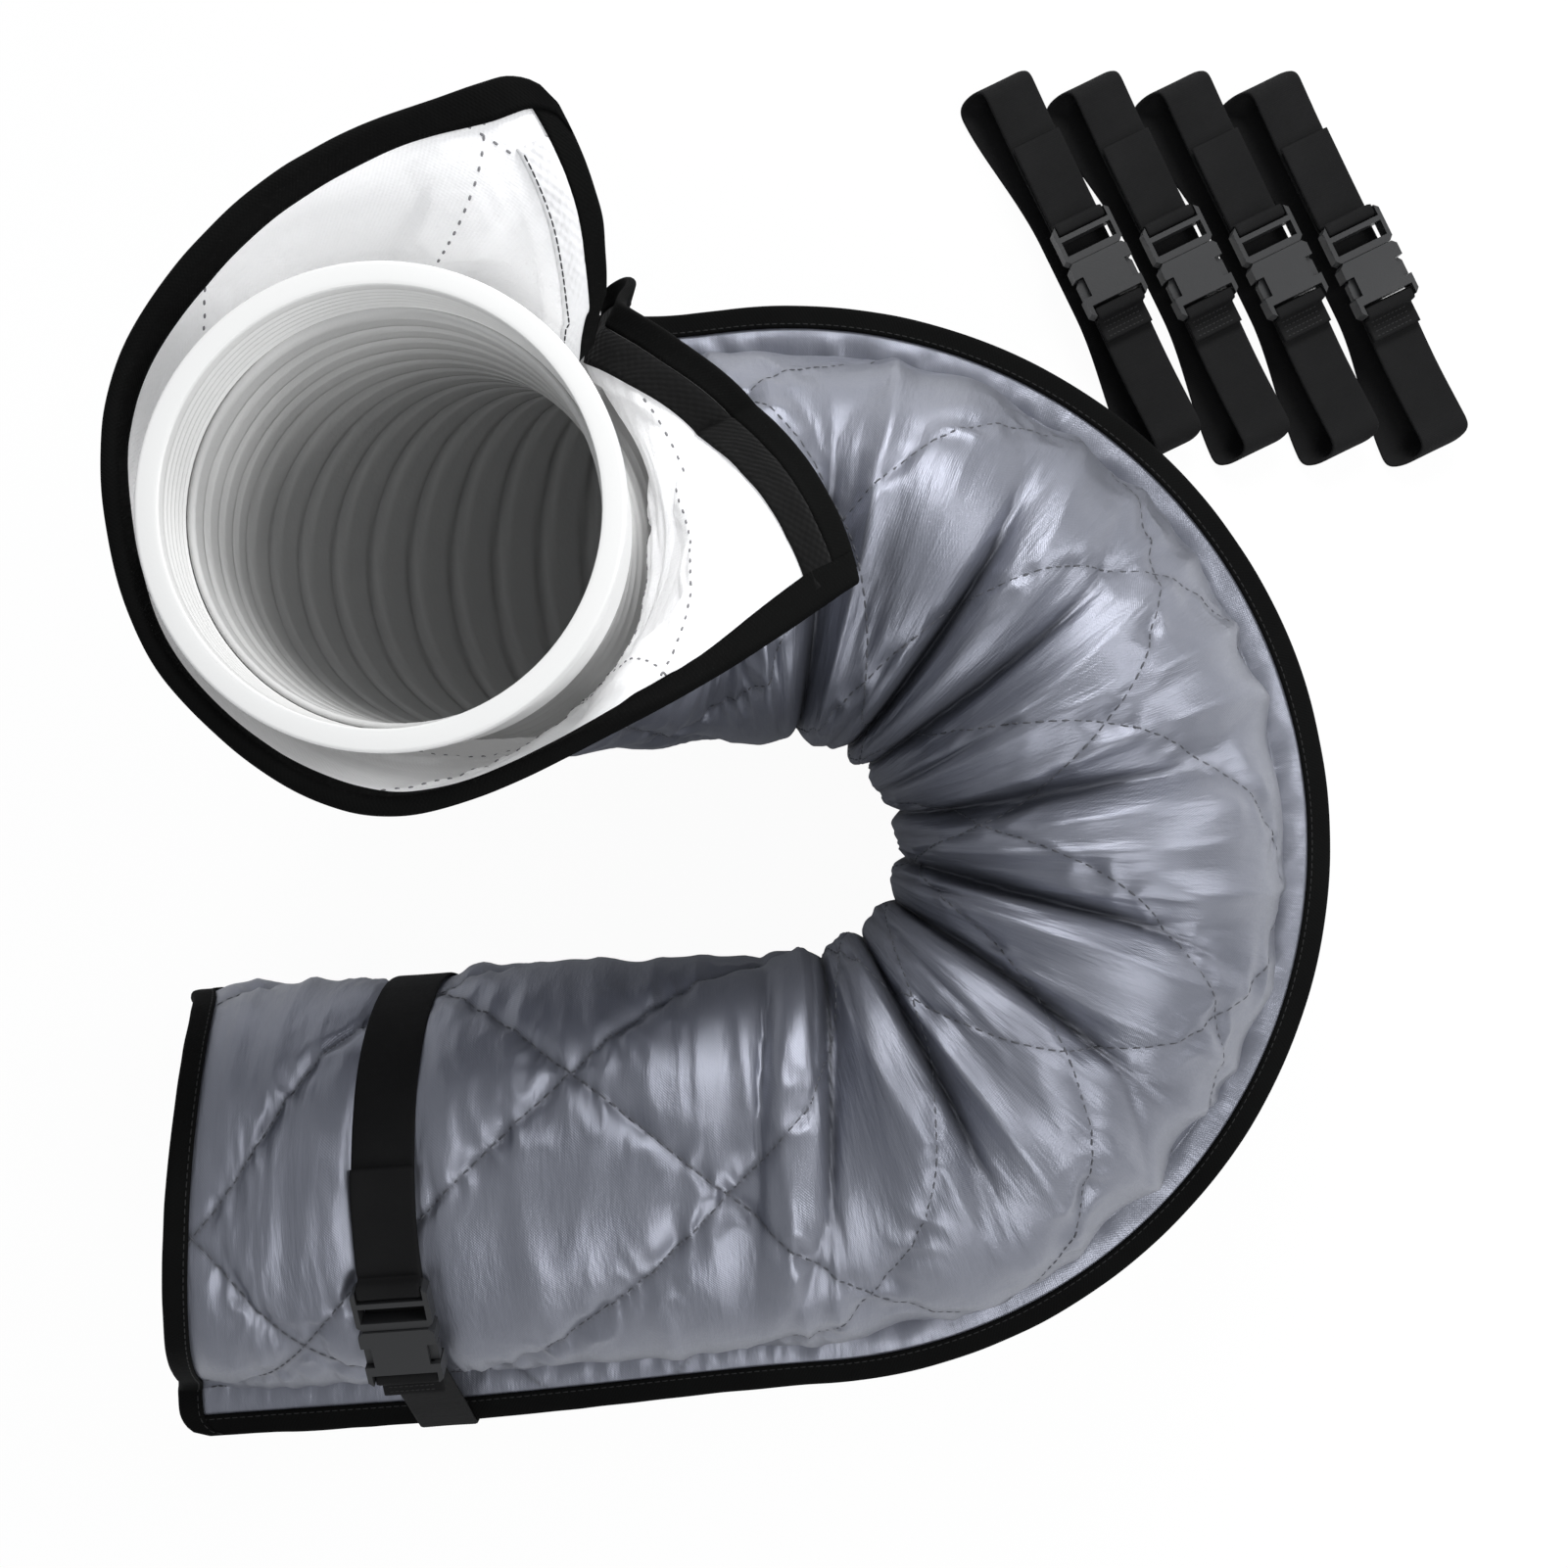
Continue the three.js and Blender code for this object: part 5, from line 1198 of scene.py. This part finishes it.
def band(name, line, place, lean=0.0):
    """Webbing along a line in the buckle's plane: flat ribs along it and rounded selvedges."""
    origin, ahead, across, off = place
    line, passed = in_steps(line, 0.0012)
    way = unit(np.gradient(line, axis=0))
    side = np.stack([-way[:, 1], way[:, 0]], 1)
    shares = np.linspace(-1, 1, BAND_COLUMNS)
    selvedge = np.sqrt(np.clip(1 - np.abs(shares) ** 14, 0, 1)) * 0.5 + 0.5
    ribs = 1 - RIB_DEPTH * (np.arange(BAND_COLUMNS) % 2)
    half = WEBBING_HALF * selvedge * ribs
    curl = 0.00018 * np.sin(passed * 90 + len(name))[:, None] * shares ** 2
    waver = (drift((len(line), 2), (max(len(line) // 40, 1), 1), len(name)) * 0.00018)[:, :1]
    width = (WEBBING_HALF_WIDTH - 0.0001) * shares
    depth = eased(UNDER_BUCKLE - line[:, 1], 0.0, 2 * LOOP_HALF_HEIGHT)
    waver = waver - (lean * depth * (0.3 + 0.7 * eased(np.abs(line[:, 0]), 0.02, 0.095)))[:, None]
    faces = []
    for sign in (1, -1):
        flat = line[:, None] + side[:, None] * (sign * half[None] + curl)[..., None]
        faces.append(origin + flat[..., :1] * ahead + flat[..., 1:] * off
                     + (width[None] + waver)[..., None] * across)
    kept_above(0.0, faces)
    return wall(name, *faces, False, webbing_black, every_pair(passed, width))


def sewn_end():
    """The end that is sewn over the housing's bar, to its slot."""
    beyond = HOUSING_END + WEBBING_GAP + WEBBING_HALF
    return [(beyond + SEWN_LENGTH, FREE_LEVEL), (beyond, FREE_LEVEL), (beyond, OVER_BAR),
            (HOUSING_SLOT, OVER_BAR), (HOUSING_SLOT, UNDER_BUCKLE)]


def free_end(follow):
    """From the plug's slot over its end bar, and back along the strap."""
    behind = PLUG_END - WEBBING_GAP - WEBBING_HALF
    return [(PLUG_SLOT, FREE_LEVEL - WEBBING_HALF), (PLUG_SLOT, OVER_BAR), (behind, OVER_BAR),
            (behind, FREE_LEVEL)] + follow


def hull(points):
    """The corners that a tight band round some flat points touches, clockwise."""
    points = sorted(map(tuple, points))

    def walk(order):
        chain = []
        for x, y in order:
            while len(chain) > 1:
                (ax, ay), (bx, by) = chain[-2:]
                if (bx - ax) * (y - by) - (by - ay) * (x - bx) < -1e-12:
                    break
                chain.pop()
            chain.append((x, y))
        return chain[:-1]
    return np.array(walk(points) + walk(points[::-1]))


def outside_of(line, height):
    """A closed clockwise line moved outwards."""
    way = unit(np.roll(line, -1, 0) - np.roll(line, 1, 0))
    return line + np.stack([-way[:, 1], way[:, 0]], 1) * height


def fitted_loops(place):
    """The band's line round the sleeve and its fin, and the line that the free end follows."""
    point, _, outward, upward = station_at(STRAP_PLACE)
    line, _ = section(STRAP_PLACE)
    edge = cloth_radius(STRAP_PLACE) + FIN_WIDTH + FIN_TIP
    thick = FIN_MIDDLE + LAYERS_HALF * 0.65 + FIN_TIP
    corner = np.linspace(0, math.pi / 2, 5)
    tip = np.stack([edge + FIN_CORNER * (np.sin(corner) - 1),
                    thick + FIN_CORNER * (np.cos(corner) - 1)], 1)
    support = np.concatenate([outside_of(hull(line), LAYERS_HALF), tip, tip * (1, -1)])
    ring = hull(support)
    origin, ahead, _, off = place
    lines = []
    for height in (WEBBING_GAP + WEBBING_HALF, 2 * WEBBING_GAP + 3 * WEBBING_HALF):
        moved = outside_of(ring, height)
        spots = point + moved[:, :1] * outward + moved[:, 1:] * upward - origin
        lines.append(np.stack([spots @ ahead, spots @ off], 1))
    # The band starts from the longest straight, which is the one under the buckle.
    straight = np.linalg.norm(np.roll(lines[0], -1, 0) - lines[0], axis=1)
    first = int(np.argmax(np.where(lines[0][:, 1] < -0.02, 0, straight))) + 1
    loop, back = (np.roll(line, -first, 0) for line in lines)
    return loop, back[::-1]


def loose_loops():
    """A flat loop under the buckle, and the straight line that its free end follows."""
    centre = LOOP_HALF_LENGTH - LOOP_HALF_HEIGHT - WEBBING_HALF
    turn = np.linspace(math.pi / 2, -math.pi / 2, 15)
    bulge = LOOP_HALF_HEIGHT * np.stack([np.cos(turn) * 1.05, np.sin(turn) - 1], 1)
    sag = np.linspace(0, 1, 9)[1:-1, None]
    there = bulge + (centre, UNDER_BUCKLE)
    back = bulge[::-1] * (-1, 1) + (-centre, UNDER_BUCKLE)
    slack = np.concatenate([sag * 0, np.sin(math.pi * sag) * 0.0011], 1)
    from_buckle = (HOUSING_SLOT, UNDER_BUCKLE) * (1 - sag) + there[:1] * sag - slack
    to_buckle = back[-1:] * (1 - sag) + np.array([PLUG_SLOT, UNDER_BUCKLE]) * sag - slack
    loop = np.concatenate([from_buckle, there, back, to_buckle])
    return loop, [(PLUG_END - STRAP_FREE_END, FREE_LEVEL)]


def upto(line, length):
    """The first part of a line, of this length."""
    line = np.array(line)
    passed = length_passed(line)
    return [*line[passed < length], at_length(length, passed, line)]


for strap in ["fitted_strap"] + [f"loose_strap_{k}" for k in range(1, 5)]:
    place = buckle_frame(strap)
    if strap == "fitted_strap":
        loop, back = fitted_loops(place)
        back = back[np.argmax(back[:, 0] < PLUG_END - 0.003):]
        back = upto([(PLUG_END, FREE_LEVEL)] + back.tolist(), STRAP_FREE_END)[1:]
        lean = 0
    else:
        loop, back = loose_loops()
        lean = LOOSE_LEAN * random.uniform(0.85, 1.15)
    loop = bent([*sewn_end(), *loop, (TUCKED_END, UNDER_BUCKLE)], WEBBING_BEND)
    stand_for(band(strap + "_band", loop, place, lean), strap + "_webbing")
    tail = band(strap + "_tail", bent(free_end(back), WEBBING_BEND), place)
    stand_for(tail, strap + "_free_end", strap + "_plug")
    origin, ahead, across, off = place
    rows = []
    for along in np.linspace(0.0025, SEWN_LENGTH - 0.0012, 4):
        start = (origin + ahead * (HOUSING_END + WEBBING_GAP + along)
                 + off * (FREE_LEVEL + WEBBING_HALF))
        row = start + np.linspace(-TACK_HALF, TACK_HALF, 12)[:, None] * across
        rows.append((row, np.tile(off, (12, 1))))
    dashes(strap + "_bar_tack", rows, 0.0021, 0.0017, 0.00028, 0.0, bar_tack)
    for piece in ("buckle_housing", "buckle_plug", "latch_left", "latch_right"):
        moulded = frame["nodes"][f"{strap}_{piece}"]
        moulded.data.materials.clear()
        moulded.data.materials.append(buckle_black)
        edges = moulded.modifiers.new("mould_radius", "BEVEL")
        edges.width = MOULD_RADIUS
        edges.segments = 3
        edges.limit_method = "ANGLE"
        edges.angle_limit = math.radians(50)
